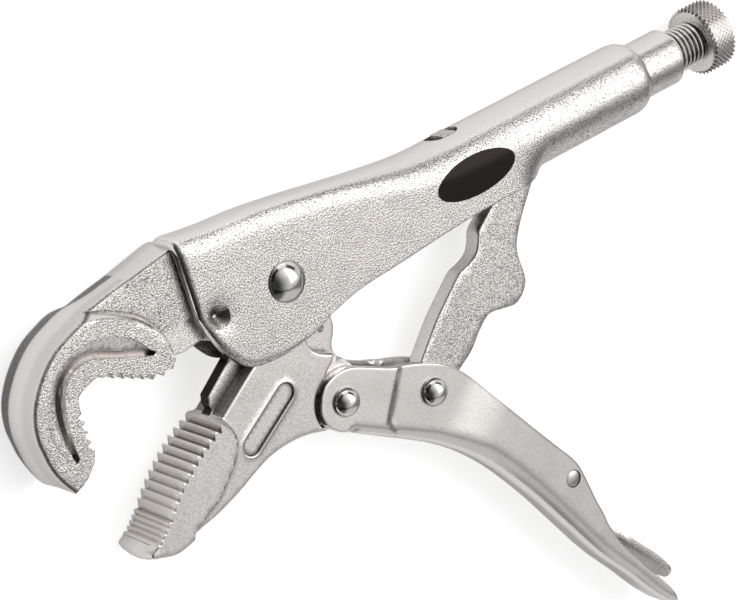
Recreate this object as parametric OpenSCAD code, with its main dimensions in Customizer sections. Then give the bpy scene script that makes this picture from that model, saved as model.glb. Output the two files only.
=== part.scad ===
// Locking pliers: a hooked jaw fixed in a folded handle, a toothed lower jaw,
// a channel lever with its toggle link and release lever, and a set screw.
// The shapes are drawn with the handle's tube axis along X, and placed() then
// puts the middle of the underside of the whole tool at the origin.

/* [Handle] */
// Half the width over the handle's two cheeks
handle_half = 9.9; // [9.7:0.1:10.3]
// Thickness of the handle's sheet
handle_sheet = 2.5; // [2.2:0.1:2.6]
// Where the plain tube ends and the shoulder starts
tube_end = 44.7; // [42:0.5:47]
// Where the drawn sleeve ends
sleeve_end = 61.2; // [58:0.2:62]
// Radius of the drawn sleeve
sleeve_r = 7.7; // [7.4:0.1:8.2]

/* [Fixed jaw] */
// Half the width of the hook
hook_half = 8.2; // [7.6:0.1:9]
// Half the width of the neck
neck_half = 5; // [4.5:0.1:6]
// Depth of the groove round the mouth
groove_deep = 1.2; // [0.5:0.1:1.5]

/* [Lower jaw] */
// Half the width of the toothed block
block_half = 8.2; // [7.6:0.1:9]
// Half the width of the jaw plate
plate_half = 6.3; // [5.5:0.1:6.5]
// Half the width of the thin web
web_half = 2; // [1.5:0.1:2.5]
// Distance from one coarse tooth to the next
tooth_pitch = 2.4; // [2:0.1:3]
// Depth of a coarse tooth
tooth_deep = 1.2; // [0.8:0.1:1.4]

/* [Lever] */
// Half the width over the lever's two ears
lever_half = 6.7; // [6.4:0.1:7]
// Thickness of the lever's sheet
lever_sheet = 2.8; // [2.6:0.1:2.8]
// How far each side is pressed in at the link
lever_pinch = 1.1; // [0.9:0.1:1.2]
// Half the thickness of the link
link_half = 2.6; // [2.2:0.1:2.6]
// Thickness of the release lever's strip
strip_t = 1.8; // [1.4:0.1:2]

/* [Adjusting screw] */
// Outside radius of the thread
screw_r = 6; // [5.5:0.1:6]
// Pitch of the thread
screw_pitch = 1.75; // [1.5:0.25:2]
// Radius of the knurled knob
knob_r = 9.3; // [8.5:0.1:10]
// Length of the knurled knob
knob_w = 8.2; // [7:0.1:9]

/* [Rivets] */
// Radius of the main rivet's dome
main_dome_r = 5.1; // [4.8:0.1:5.8]
// Radius of the small rivets' domes
small_dome_r = 3.9; // [3.6:0.1:4.2]
// Radial play of a moving part on its pin
play = 0.05; // [0.02:0.01:0.08]

/* [Hidden] */
$fn = 64;

// Pivots, seen from the side
jaw_pivot = [-74.4, -1.9];
lever_pivot = [-67.1, -38.4];
link_pivot = [-41.4, -48.6];
thrust_point = [14, -1];
release_pivot = [-8.3, -90.9];

// Where the spring hooks into the lower jaw's tab and into its anchor
spring_from = [-65.5, -16.8];
spring_to = [-16.2, 4.6];
coil_r = 3.1;
wire_r = 0.5;

// Middle of the whole tool, seen from the side
tool_mid = [-33.57, -61.92];

// The tube is a hair narrower than the cheeks, so that they meet cleanly
tube_r = handle_half - 0.05;
bore_r = tube_r - handle_sheet;
cheek_gap = handle_half - handle_sheet;
lever_gap = lever_half - lever_sheet;
pinch_half = lever_half - lever_pinch;
pinch_gap = pinch_half - lever_sheet;

main_shank_r = 4;
small_shank_r = 3;
release_pin_r = 2.2;
tail_half = 6;
main_dome_h = 3;
small_dome_h = handle_half - lever_half;
screw_tip = 18.6;
knob_face = 71.6;
front = -99.5;
slot_end = 6.7;
through = 60;

// Middle line of the handle's round back, from the jaw end to the tube
back_line = [[-106, 10.4], [-78, 7.9], [-30, 0]];

// Middle line of the round back of the lever's grip
grip_line = [[-36.4, -60.9], [-31, -65.6], [-20.5, -78], [0.3, -113], [22, -140.8]];

function unit(v) = v / norm(v);
function flat(lists) = [for (list = lists) each list];
function turned(v) = [-v.y, v.x];

// A corner [x, y, cut] becomes a curve that starts the cut's length before it,
// or a little less than half way along a shorter side
function corner(a, b, c) =
    let (
        here = [b.x, b.y],
        before = [a.x, a.y] - here,
        after = [c.x, c.y] - here,
        cut = min(len(b) > 2 ? b[2] : 0, 0.48 * norm(before), 0.48 * norm(after)),
        from = here + unit(before) * cut,
        to = here + unit(after) * cut,
        steps = 6
    )
    cut == 0 ? [here] : [
        for (i = [0:steps])
            let (t = i / steps)
            from * (1 - t) * (1 - t) + here * 2 * t * (1 - t) + to * t * t
    ];

// An outline through corners, each rounded by its own cut
function rounded(points) =
    let (n = len(points))
    flat([for (i = [0:n - 1]) corner(points[(i + n - 1) % n], points[i], points[(i + 1) % n])]);

// Tooth crests and roots from one point to another, with the roots on the left
// of the way they run and the crests bowed out to the right by a rise
function teeth(from, to, count, deep, rise = 0) =
    let (
        along = (to - from) / (count - 1),
        out = turned(unit(along))
    )
    flat([
        for (i = [0:count - 1])
            let (
                t = i / (count - 1),
                crest = from + along * i - out * rise * 4 * t * (1 - t)
            )
            [crest - along * 0.1, crest + along * 0.1, crest + along * 0.6 + out * deep]
    ]);

// Both sides of a strip of a given thickness along a line of points
function strip(line, t) =
    let (
        last = len(line) - 1,
        side = [
            for (i = [0:last])
                turned(unit(line[min(i + 1, last)] - line[max(i - 1, 0)])) * t / 2
        ]
    )
    concat([for (i = [0:last]) line[i] + side[i]], [for (i = [last:-1:0]) line[i] - side[i]]);

module placed() translate([-tool_mid.x, -tool_mid.y, handle_half]) children();

module slab(half) linear_extrude(height = 2 * half, center = true) children();

module at(p) translate([p.x, p.y, 0]) children();

module pin(p, r, half) at(p) cylinder(r = r, h = 2 * half, center = true);

// A round bar between two points, a little longer than the way between them
module bar(p, q, r) {
    over = r * 0.06;
    at(p)
        rotate([0, 0, atan2(q.y - p.y, q.x - p.x)])
            rotate([0, 90, 0])
                translate([0, 0, -over])
                    cylinder(r = r, h = norm(q - p) + 2 * over);
}

// Bars along a line, every other one a hair thinner
module round_back(line, r) {
    for (i = [0:len(line) - 2])
        bar(line[i], line[i + 1], r - 0.04 * (i % 2));
}

module turned_about_x(start) translate([start, 0, 0]) rotate([0, 90, 0]) children();

// A domed rivet head that stands on z = 0
module dome(r, h) {
    ball = (r * r + h * h) / (2 * h);
    intersection() {
        translate([0, 0, h - ball]) sphere(r = ball);
        cylinder(r = r, h = h);
    }
}

// The side view of one cheek, up to just below the middle of the round back
module cheek_outline() {
    polygon(rounded([
        [front - 5, 10], back_line[1] - [0, 0.3], back_line[2] - [0, 0.3], [2, -0.3], [12, -3.5],
        [5.5, -7, 3], [-3, -9.8, 3], [-20, -10.3, 6], [-43, -11.9, 8], [-57, -13, 6],
        [-70, -17.2, 6], [-84, -19.4, 5], [-93.5, -18.3, 6], [-97.6, -6, 4], [front, -1, 2],
        [front - 5, 0]
    ]));
}

module handle_outside() {
    slab(handle_half) cheek_outline();
    round_back(back_line, tube_r);
    turned_about_x(back_line[2].x)
        rotate_extrude()
            polygon(rounded([
                [0, 0], [tube_r, 0], [tube_r, tube_end - back_line[2].x, 2],
                [sleeve_r, tube_end + 4.3 - back_line[2].x, 2],
                [sleeve_r, sleeve_end - back_line[2].x, 0.5], [0, sleeve_end - back_line[2].x]
            ]));
}

// The room between the cheeks, which ends in a round slot under the tube
module handle_inside() {
    slab(cheek_gap) polygon([
        [-130, 12.2], back_line[1] - [0, 0.3], back_line[2] - [0, 0.3],
        [slot_end, -0.3], [slot_end, -40], [-130, -40]
    ]);
    translate([slot_end, -40, 0]) rotate([-90, 0, 0]) cylinder(r = cheek_gap - 0.1, h = 39);
    round_back([[-130, 12.5], back_line[1], back_line[2]], bore_r);
    turned_about_x(back_line[2].x - 1) cylinder(r = bore_r, h = tube_end + 1 - back_line[2].x);
    turned_about_x(0) cylinder(r = screw_r + play, h = 80);
}

module handle_shell() {
    color("silver") placed() difference() {
        handle_outside();
        handle_inside();
        // Square front end
        translate([front - 30, -10, -20]) cube([30, 60, 40]);
        pin(jaw_pivot, main_shank_r, through);
        // Slot for the spring anchor in the back
        for (x = [-16.5, -12])
            translate([x, 5, 0]) rotate([-90, 0, 0]) cylinder(r = 3, h = 10);
        translate([-14.25, 10, 0]) cube([4.5, 10, 5.9], center = true);
        // Punch mark that stakes the jaw
        translate([-94.4, -1.6, handle_half - 2]) cylinder(r1 = 0.6, r2 = 2.6, h = 2.01);
    }
}

// Side view of the neck and of the tang that the handle holds
module neck_outline() {
    polygon(rounded([
        [-127, 5, 2], [-127, 11.4, 2], [-119, 13.6, 3], [front, 17.2], [front, 14.6], [-91, 7], [-90, -7],
        [-103, -7.6, 2], [-107.8, -7], [-112, 0, 2]
    ]));
}

// Side view of the hook, out to its rim less an edge
module hook_outline(edge = 0) {
    polygon(concat(
        rounded([
            [-107.8, -6], [-107.8, -4, 1], [-112, 4.3, 2], [-119.4, 9, 2], [-126.5, 11.6 - edge, 5],
            [-138.5, 8.3 - edge, 6], [-146 + edge, -1.5, 6], [-147.2 + edge, -11, 4],
            [-145.6 + edge, -17, 3], [-142.4, -24.6 + edge, 1], [-138.4, -22.6, 2], [-135.2, -19.6]
        ]),
        teeth([-134.5, -17.1], [-134.5, -7.4], 5, 1.1),
        rounded([[-134.5, -5.4], [-133.9, -2.9, 2], [-127.5, -1.3]]),
        teeth([-126.5, -2.3], [-114.9, -8.3], 6, 1.1),
        [[-112.2, -9], [-110.9, -7.8], [-109.1, -8.4], [-108.4, -6.6]]
    ));
}

// The groove that runs round the mouth on both faces
module groove_outline() {
    polygon(rounded([
        [-112.6, -3.2, 0.5], [-112.6, -1.6, 0.5], [-120, 1.6, 2], [-126, 4.9, 3], [-133, 5, 3],
        [-138.6, 1.6, 4], [-140.4, -7, 4], [-140.1, -17.3], [-138.6, -15.6], [-138, -6, 4],
        [-136.4, 0.2, 4], [-131, 3.2, 3], [-125.5, 2.6, 2], [-120.5, -0.2, 2]
    ]));
}

module fixed_jaw() {
    color("gainsboro") placed() difference() {
        union() {
            slab(neck_half) neck_outline();
            slab(hook_half) hook_outline(edge = 1.2);
            slab(hook_half - 1.2) hook_outline();
            // Tang between the handle's cheeks
            slab(cheek_gap) polygon([
                [front, 8], [-78, 7], [-66, 5], [-64, -1.9], [-74, -8], [-86, -7], [front, -7]
            ]);
            intersection() {
                pin(jaw_pivot, 13.8, cheek_gap);
                translate([-100, -30, -20]) cube([60, 35, 40]);
            }
        }
        for (side = [-1, 1])
            translate([0, 0, side * hook_half]) slab(groove_deep) groove_outline();
        // Fork for the lower jaw's web
        pin(jaw_pivot, 12.2, web_half + 0.15);
        slab(web_half + 0.15) polygon([
            [-104, -11.2], [-95.9, -8.8], [-86, 0.5], [-62, 0.5], [-56, -16], [-96, -18]
        ]);
        pin(jaw_pivot, main_shank_r, through);
    }
}

module main_rivet() {
    color("white") placed() at(jaw_pivot) {
        translate([0, 0, -handle_half + 0.1]) cylinder(r = main_shank_r, h = 2 * handle_half - 0.1);
        translate([0, 0, handle_half]) dome(main_dome_r, main_dome_h);
    }
}

// Side view of the thin web: the tongue, the front strip and the rear tab
module web_outline() {
    at(jaw_pivot) circle(r = 11.5);
    polygon(rounded([
        [-85.6, -4], [-91.6, -15.8, 1], [-99.8, -21.6, 1], [-100.4, -23.8, 0.5], [-98, -27],
        [-92, -32], [-76, -33], [-70, -30], [-61.4, -31, 1], [-63.9, -26.8, 2],
        [-61.8, -22.6, 1.5], [-61.2, -15.5, 2.5], [-66, -8]
    ]));
}

// Side view of the jaw plate, clear of the tang above and the lever's ears below
module plate_outline() {
    difference() {
        polygon(rounded([
            [-100.5, -26.1], [-89.1, -19], [-81.2, -14.2], [-72.3, -14], [-71.9, -21.6, 2],
            [-65.8, -25.8, 0.5], [-66.8, -27.6, 0.5], [-70, -29.4], [-72, -38], [-70.8, -44.5],
            [-77, -42, 3], [-86, -40.8, 4], [-95.4, -42.4, 4], [-104, -46.4, 4], [-115.2, -49],
            [-120, -38]
        ]));
        at(jaw_pivot) circle(r = 14.4);
        at(lever_pivot) circle(r = 8.6);
    }
}

// Side view of the toothed block
module block_outline() {
    polygon(concat(
        teeth([-102, -26.6], [-121.3, -40.1], 11, tooth_deep, 1.4),
        teeth([-122.9, -42], [-127.3, -46], 5, 0.7),
        rounded([
            [-128.6, -46.4], [-130.6, -48.4, 1], [-126.8, -49.3, 1.5], [-123, -50.9, 1.5], [-115, -48.7],
            [-110.6, -46, 3], [-102.4, -39.6, 4], [-97.2, -34, 3], [-99.6, -27.6, 1], [-101.2, -26.4]
        ])
    ));
}

module lower_jaw() {
    ear_half = lever_gap - 0.2;
    color("gainsboro") placed() difference() {
        union() {
            slab(web_half) web_outline();
            slab(plate_half) plate_outline();
            slab(block_half) block_outline();
            pin(lever_pivot, 7.2, ear_half);
            slab(ear_half) polygon([[-78, -34], [-67, -31.4], [-62, -36], [-69, -45.2], [-78, -42.6]]);
        }
        pin(jaw_pivot, main_shank_r + play, through);
        pin(lever_pivot, small_shank_r + play, through);
        pin(spring_from, 1.5, through);
        // Sunk panel with round ends on both faces
        for (side = [-1, 1])
            translate([0, 0, side * plate_half])
                long_slot([-95.1, -36.5], [-82.1, -28.6], 2.6, 0.4);
    }
}

// A slot with round ends, cut to a depth on both sides of z = 0
module long_slot(p, q, r, deep) {
    pin(p, r, deep);
    pin(q, r, deep);
    at((p + q) / 2)
        rotate([0, 0, atan2(q.y - p.y, q.x - p.x)])
            cube([norm(q - p), 2 * r, 2 * deep], center = true);
}

// Side view of the whole lever; along the grip it reaches past the round back
module lever_side() {
    polygon(rounded([
        [-74.8, -39, 4], [-71.6, -30.8, 4], [-63.5, -30.8, 3], [-51.6, -36.6, 4], [-36.5, -43, 4],
        [-30, -49.7, 3], [-16.6, -70.7, 6], [-5.6, -87.8, 4], [-1.3, -109.6, 5],
        [8.4, -128.6, 4], [12.8, -135.8, 1.5], [16.2, -143.6, 1], [4, -146],
        [-30, -92], [-42, -66, 3], [-56.7, -54.1, 6], [-68.7, -47.1, 4]
    ]));
}

// The flat sides' stretches: the ears, the part pressed in, and the grip
module ear_sides() {
    polygon([[-90, -20], [-44, -20], [-49.6, -37.3], [-57.2, -48.6], [-63, -60], [-90, -60]]);
}

module pinched_sides(back) {
    polygon([
        [-66, -30], [-30, -30], [-33, -62], [-38.5, -67.2] + back, [-46, -61.3] + back,
        [-66, -47.8] + back
    ]);
}

module grip_sides() {
    polygon([[-35, -30], grip_line[0], grip_line[1], grip_line[2], grip_line[3], [20, -105], [0, -50]]);
}

module lever_solid(half, pinched, back) {
    slab(half) ear_sides();
    slab(pinched) pinched_sides(back);
    translate([-0.25, -0.15, 0]) slab(half) grip_sides();
    round_back(grip_line, half - 0.05);
}

module lever() {
    color("silver") placed() difference() {
        intersection() {
            lever_solid(lever_half, pinch_half, [0, 0]);
            slab(handle_half) lever_side();
        }
        lever_solid(lever_gap, pinch_gap, lever_sheet * [0.56, 0.83]);
        pin(lever_pivot, small_shank_r, through);
        pin(link_pivot, small_shank_r, through);
        pin(release_pivot, release_pin_r, through);
    }
}

// A pin with a dome on each end
module domed_pin(p, half) {
    placed() at(p) {
        cylinder(r = small_shank_r, h = 2 * half, center = true);
        for (side = [0, 1])
            mirror([0, 0, side]) translate([0, 0, half]) dome(small_dome_r, small_dome_h);
    }
}

module lever_rivet() color("white") domed_pin(lever_pivot, lever_half);

module link_rivet() color("white") domed_pin(link_pivot, pinch_half);

module release_pin() color("white") placed() pin(release_pivot, release_pin_r, lever_half);

module link() {
    color("gainsboro") placed() difference() {
        slab(link_half) union() {
            at(thrust_point) circle(r = 3.5);
            at(link_pivot) circle(r = 6);
            polygon(rounded([
                [11.5, 1.4], [-4, -12, 3], [-13.4, -17.6, 1], [-15.2, -22.6, 2], [-22.4, -24.8, 1.5],
                [-45, -43.9], [-38.5, -53.8], [-29.4, -48.4, 2], [-25, -45.8, 2],
                [-17.4, -38.8, 3], [-9.6, -40.4, 3], [-2.4, -38.4, 3], [-2.9, -27.6, 3],
                [3.4, -17.2, 3], [10.6, -9, 2], [17.1, -2.6]
            ]));
        }
        pin(link_pivot, small_shank_r + play, through);
    }
}

module release_lever() {
    inner_line = [
        [-25.6, -64.6], [-22.8, -67.4], [-11.6, -84.2], [-7.2, -92.6], [-4.4, -101.6],
        [-1.9, -107], [1.5, -112.9], [3.5, -115.6]
    ];
    tail_line = [[1.5, -112.9], [6.8, -119.9], [12, -126.8], [14.6, -131.4], [16.2, -136]];
    inner_half = lever_gap - 0.4;
    color("silver") placed() difference() {
        union() {
            slab(inner_half) polygon(strip(inner_line, strip_t));
            slab(tail_half) polygon(strip(tail_line, strip_t));
            pin(release_pivot, 3.6, inner_half);
        }
        pin(release_pivot, release_pin_r + play, through);
    }
}

module stop_ring() {
    color("silver") placed() turned_about_x(screw_tip + 1.6) difference() {
        cylinder(r = bore_r - 0.4, h = 2.4);
        translate([0, 0, -1]) cylinder(r = screw_r + play, h = 6);
    }
}

module adjusting_screw() {
    turns = floor((knob_face - screw_tip - 9) / screw_pitch);
    color("gainsboro") placed() turned_about_x(screw_tip) rotate_extrude() polygon(concat(
        [[0, 0], [screw_r - 1, 0], [screw_r, 1], [screw_r, 7]],
        flat([
            for (i = [0:turns - 1])
                [[screw_r - 0.9, 7 + (i + 0.5) * screw_pitch], [screw_r, 7 + (i + 1) * screw_pitch]]
        ]),
        [[screw_r - 0.9, knob_face - screw_tip], [0, knob_face - screw_tip]]
    ));
}

module screw_knob() {
    color("silver") placed() turned_about_x(knob_face) rotate_extrude() polygon([
        [0, 0], [knob_r - 1.4, 0], [knob_r, 0.9], [knob_r, knob_w - 0.9], [knob_r - 1.2, knob_w],
        [0, knob_w]
    ]);
}

// A clip in the slot of the handle's back, with an eye for the spring
module spring_anchor() {
    color("dimgray") placed() difference() {
        union() {
            translate([-13.6, 8.5, 0]) cube([4, 2.4, 5.4], center = true);
            slab(0.8) polygon([[-15.4, 8], [-12.2, 8], [-13.2, 3.6], [-17, 2.2], [-18.4, 4], [-18, 6]]);
        }
        pin(spring_to, 1.2, through);
    }
}

// Tension spring from the web's tab to the anchor, a closed coil with an eye at each end
module opening_spring() {
    long = norm(spring_to - spring_from);
    coil_from = 2 * coil_r - 0.4;
    turns = floor((long - 2 * coil_from) / (2 * wire_r));
    step = (long - 2 * coil_from) / turns;
    color("gray") placed() at(spring_from)
        rotate([0, 0, atan2(spring_to.y - spring_from.y, spring_to.x - spring_from.x)]) {
            for (x = [coil_r, long - coil_r])
                translate([x, 0, 0]) rotate([90, 0, 0])
                    rotate_extrude() translate([coil_r, 0]) circle(r = wire_r, $fn = 16);
            turned_about_x(coil_from) rotate_extrude() polygon(concat(
                [[0, long - 2 * coil_from], [0, 0]],
                flat([
                    for (i = [0:turns - 1])
                        [[coil_r + 0.1, i * step], [coil_r + wire_r, (i + 0.5) * step]]
                ]),
                [[coil_r + 0.1, long - 2 * coil_from]]
            ));
        }
}

handle_shell();
fixed_jaw();
main_rivet();
spring_anchor();
opening_spring();
lower_jaw();
lever();
lever_rivet();
link_rivet();
release_pin();
link();
release_lever();
stop_ring();
adjusting_screw();
screw_knob();
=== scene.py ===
import math

import bmesh
import bpy
import numpy as np
from mathutils import Matrix, Vector, kdtree
from mathutils.geometry import delaunay_2d_cdt


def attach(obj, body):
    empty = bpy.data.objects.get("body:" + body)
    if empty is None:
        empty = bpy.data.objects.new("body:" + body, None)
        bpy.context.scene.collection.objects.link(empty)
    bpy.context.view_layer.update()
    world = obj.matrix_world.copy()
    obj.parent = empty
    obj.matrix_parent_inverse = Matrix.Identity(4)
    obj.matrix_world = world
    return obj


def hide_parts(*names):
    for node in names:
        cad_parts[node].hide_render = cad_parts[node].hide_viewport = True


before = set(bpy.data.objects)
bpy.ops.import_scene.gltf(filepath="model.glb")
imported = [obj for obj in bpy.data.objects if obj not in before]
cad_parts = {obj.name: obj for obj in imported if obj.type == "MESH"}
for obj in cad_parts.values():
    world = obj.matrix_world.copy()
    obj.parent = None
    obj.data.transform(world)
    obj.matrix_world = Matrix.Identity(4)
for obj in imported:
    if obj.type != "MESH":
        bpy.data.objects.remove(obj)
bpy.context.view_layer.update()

# The shapes are drawn in millimetres about the tube's axis; this is that axis in the part's frame
AXIS_PLACE = np.array((33.57, 61.92, 9.9))
MM = 0.001

MAIN_PIVOT = (-74.4, -1.9)
LEVER_PIVOT = (-67.1, -38.4)
LINK_PIVOT = (-41.4, -48.6)
THRUST_POINT = (14, -1)
RELEASE_PIVOT = (-8.3, -90.9)


def placed(points):
    return (np.asarray(points, float) + AXIS_PLACE) * MM


# ---------------------------------------------------------------- lines and outlines

def unit(v):
    v = np.asarray(v, float)
    return v / np.linalg.norm(v)


def curve(*knots, step=0.5):
    """A smooth line through the knots."""
    k = np.array(knots, float)
    k = np.vstack([2 * k[0] - k[1], k, 2 * k[-1] - k[-2]])
    out = []
    for i in range(1, len(k) - 2):
        before, length, after = (np.linalg.norm(k[j + 1] - k[j]) for j in (i - 1, i, i + 1))
        into = (k[i + 1] - k[i - 1]) * length / (before + length)
        away = (k[i + 2] - k[i]) * length / (length + after)
        n = max(1, round(length / step))
        t = (np.arange(n) / n)[:, None]
        out.append((2 * t**3 - 3 * t**2 + 1) * k[i] + (t**3 - 2 * t**2 + t) * into
                   + (3 * t**2 - 2 * t**3) * k[i + 1] + (t**3 - t**2) * away)
    out.append(k[-2:-1])
    return np.vstack(out)


def straight(*knots, step=0.5):
    """Straight stretches between the knots, cut into short pieces."""
    k = np.array(knots, float)
    out = []
    for a, b in zip(k[:-1], k[1:]):
        n = max(1, round(np.linalg.norm(b - a) / step))
        out.append(a + (b - a) * (np.arange(n) / n)[:, None])
    out.append(k[-1:])
    return np.vstack(out)


def arc(centre, radius, start, end, step=0.5):
    n = max(2, round(abs(math.radians(end - start)) * radius / step))
    angle = np.radians(np.linspace(start, end, n + 1))
    return np.array(centre) + radius * np.column_stack((np.cos(angle), np.sin(angle)))


def loop(*runs, step=0.5):
    """Runs of points joined into one closed outline that turns to the left."""
    points = [runs[0][0]]
    for p in np.vstack(runs + (runs[0][:1],))[1:]:
        far = np.linalg.norm(p - points[-1])
        if far < 0.02:
            continue
        n = max(1, round(far / step))
        start = points[-1]
        points += [start + (p - start) * i / n for i in range(1, n + 1)]
    p = np.array(points[:-1])
    q = np.roll(p, -1, 0)
    return p if (p[:, 0] * q[:, 1] - q[:, 0] * p[:, 1]).sum() > 0 else p[::-1].copy()


def tooth_row(first, last, count, deep, rise=0.0, lean=0.6):
    """Crests from first to last, with the roots on the left of the way they run."""
    first, last = np.array(first, float), np.array(last, float)
    along = (last - first) / (count - 1)
    out = unit((-along[1], along[0]))
    points = []
    for i in range(count):
        t = i / (count - 1)
        crest = first + along * i - out * rise * 4 * t * (1 - t)
        points += [crest - along * 0.07, crest + along * 0.07]
        if i < count - 1:
            points += [crest + along * (lean - 0.06) + out * deep, crest + along * (lean + 0.06) + out * deep]
    return np.array(points)


def offset(line, by, closed):
    """The line moved to its left."""
    if closed:
        way = np.roll(line, -1, 0) - np.roll(line, 1, 0)
    else:
        way = np.gradient(line, axis=0)
    size = np.linalg.norm(way, axis=1)[:, None]
    way = way / np.where(size < 1e-9, 1, size)
    return line + np.column_stack((-way[:, 1], way[:, 0])) * by


def gap(points, line):
    """Distance from each point to an open line."""
    a = line[:-1]
    d = line[1:] - a
    size = np.maximum((d * d).sum(1), 1e-12)
    out = np.empty(len(points))
    for i in range(0, len(points), 2000):
        q = points[i:i + 2000, None, :] - a[None]
        t = np.clip((q * d).sum(2) / size, 0, 1)
        q -= t[..., None] * d
        out[i:i + 2000] = np.sqrt((q * q).sum(2).min(1))
    return out


def within(points, ring):
    a, b = ring, np.roll(ring, -1, 0)
    rise = b[:, 1] - a[:, 1]
    rise = np.where(np.abs(rise) < 1e-12, 1e-12, rise)
    out = np.empty(len(points), bool)
    for i in range(0, len(points), 2000):
        x, y = points[i:i + 2000, 0, None], points[i:i + 2000, 1, None]
        across = (a[:, 1] > y) != (b[:, 1] > y)
        out[i:i + 2000] = (across & (x < a[:, 0] + (y - a[:, 1]) / rise * (b[:, 0] - a[:, 0]))).sum(1) % 2 == 1
    return out


def depth(points, ring):
    """How far each point is inside a closed outline, less than zero outside."""
    d = gap(points, np.vstack((ring, ring[:1])))
    return np.where(within(points, ring), d, -d)


def ease(t):
    t = np.clip(t, 0, 1)
    return t * t * (3 - 2 * t)


def round_off(d, r):
    """How much a rounded edge of radius r takes off at a distance d inside it."""
    return np.where(d < r, r - np.sqrt(np.maximum(r * r - (r - np.minimum(d, r)) ** 2, 0)), 0)


# ---------------------------------------------------------------- meshes

def make_piece(name, points, faces, marks=None):
    mesh = bpy.data.meshes.new(name)
    mesh.from_pydata(placed(points).tolist(), [], faces)
    for label, values in (marks or {}).items():
        mesh.attributes.new(label, "FLOAT", "POINT").data.foreach_set("value", np.asarray(values, np.float32))
    piece = bpy.data.objects.new(name, mesh)
    bpy.context.scene.collection.objects.link(piece)
    return piece


def tidy_mesh(piece, merge=0.00001, turn=True):
    m = bmesh.new()
    m.from_mesh(piece.data)
    bmesh.ops.remove_doubles(m, verts=m.verts, dist=merge)
    if turn:
        bmesh.ops.recalc_face_normals(m, faces=m.faces)
    m.to_mesh(piece.data)
    m.free()


def baked(piece):
    """The piece with its modifiers made part of its mesh."""
    seen = piece.evaluated_get(bpy.context.evaluated_depsgraph_get())
    mesh = bpy.data.meshes.new_from_object(seen)
    piece.modifiers.clear()
    old, piece.data = piece.data, mesh
    bpy.data.meshes.remove(old)
    mesh.name = piece.name
    return piece


def cut_away(piece, *cutters):
    for c in cutters:
        m = piece.modifiers.new("cut", "BOOLEAN")
        m.operation, m.solver, m.object = "DIFFERENCE", "EXACT", c
    baked(piece)
    for c in cutters:
        mesh = c.data
        bpy.data.objects.remove(c)
        bpy.data.meshes.remove(mesh)
    return piece


def softened(piece, width, segments=2, angle=45):
    m = piece.modifiers.new("edge", "BEVEL")
    m.width, m.segments, m.limit_method, m.angle_limit = width * MM, segments, "ANGLE", math.radians(angle)
    m.use_clamp_overlap = True
    return baked(piece)


def finished(piece, material, body, slot, *nodes, sharp=32):
    mesh = piece.data
    mesh.materials.clear()
    mesh.materials.append(material)
    mesh.shade_smooth()
    mesh.set_sharp_from_angle(angle=math.radians(sharp))
    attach(piece, body)
    if nodes:
        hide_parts(*nodes)
    return piece


def block_of(outline, low, high, name="cutter"):
    """A straight-sided solid over an outline."""
    n = len(outline)
    points = [(x, y, z) for z in (low, high) for x, y in outline]
    faces = [tuple(range(n - 1, -1, -1)), tuple(range(n, 2 * n))]
    faces += [(i, (i + 1) % n, n + (i + 1) % n, n + i) for i in range(n)]
    return make_piece(name, points, faces)


def round_block(centre, radius, low, high, count=48):
    return block_of(arc(centre, radius, 0, 360 - 360 / count, 2 * math.pi * radius / count)[:count], low, high)


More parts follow.
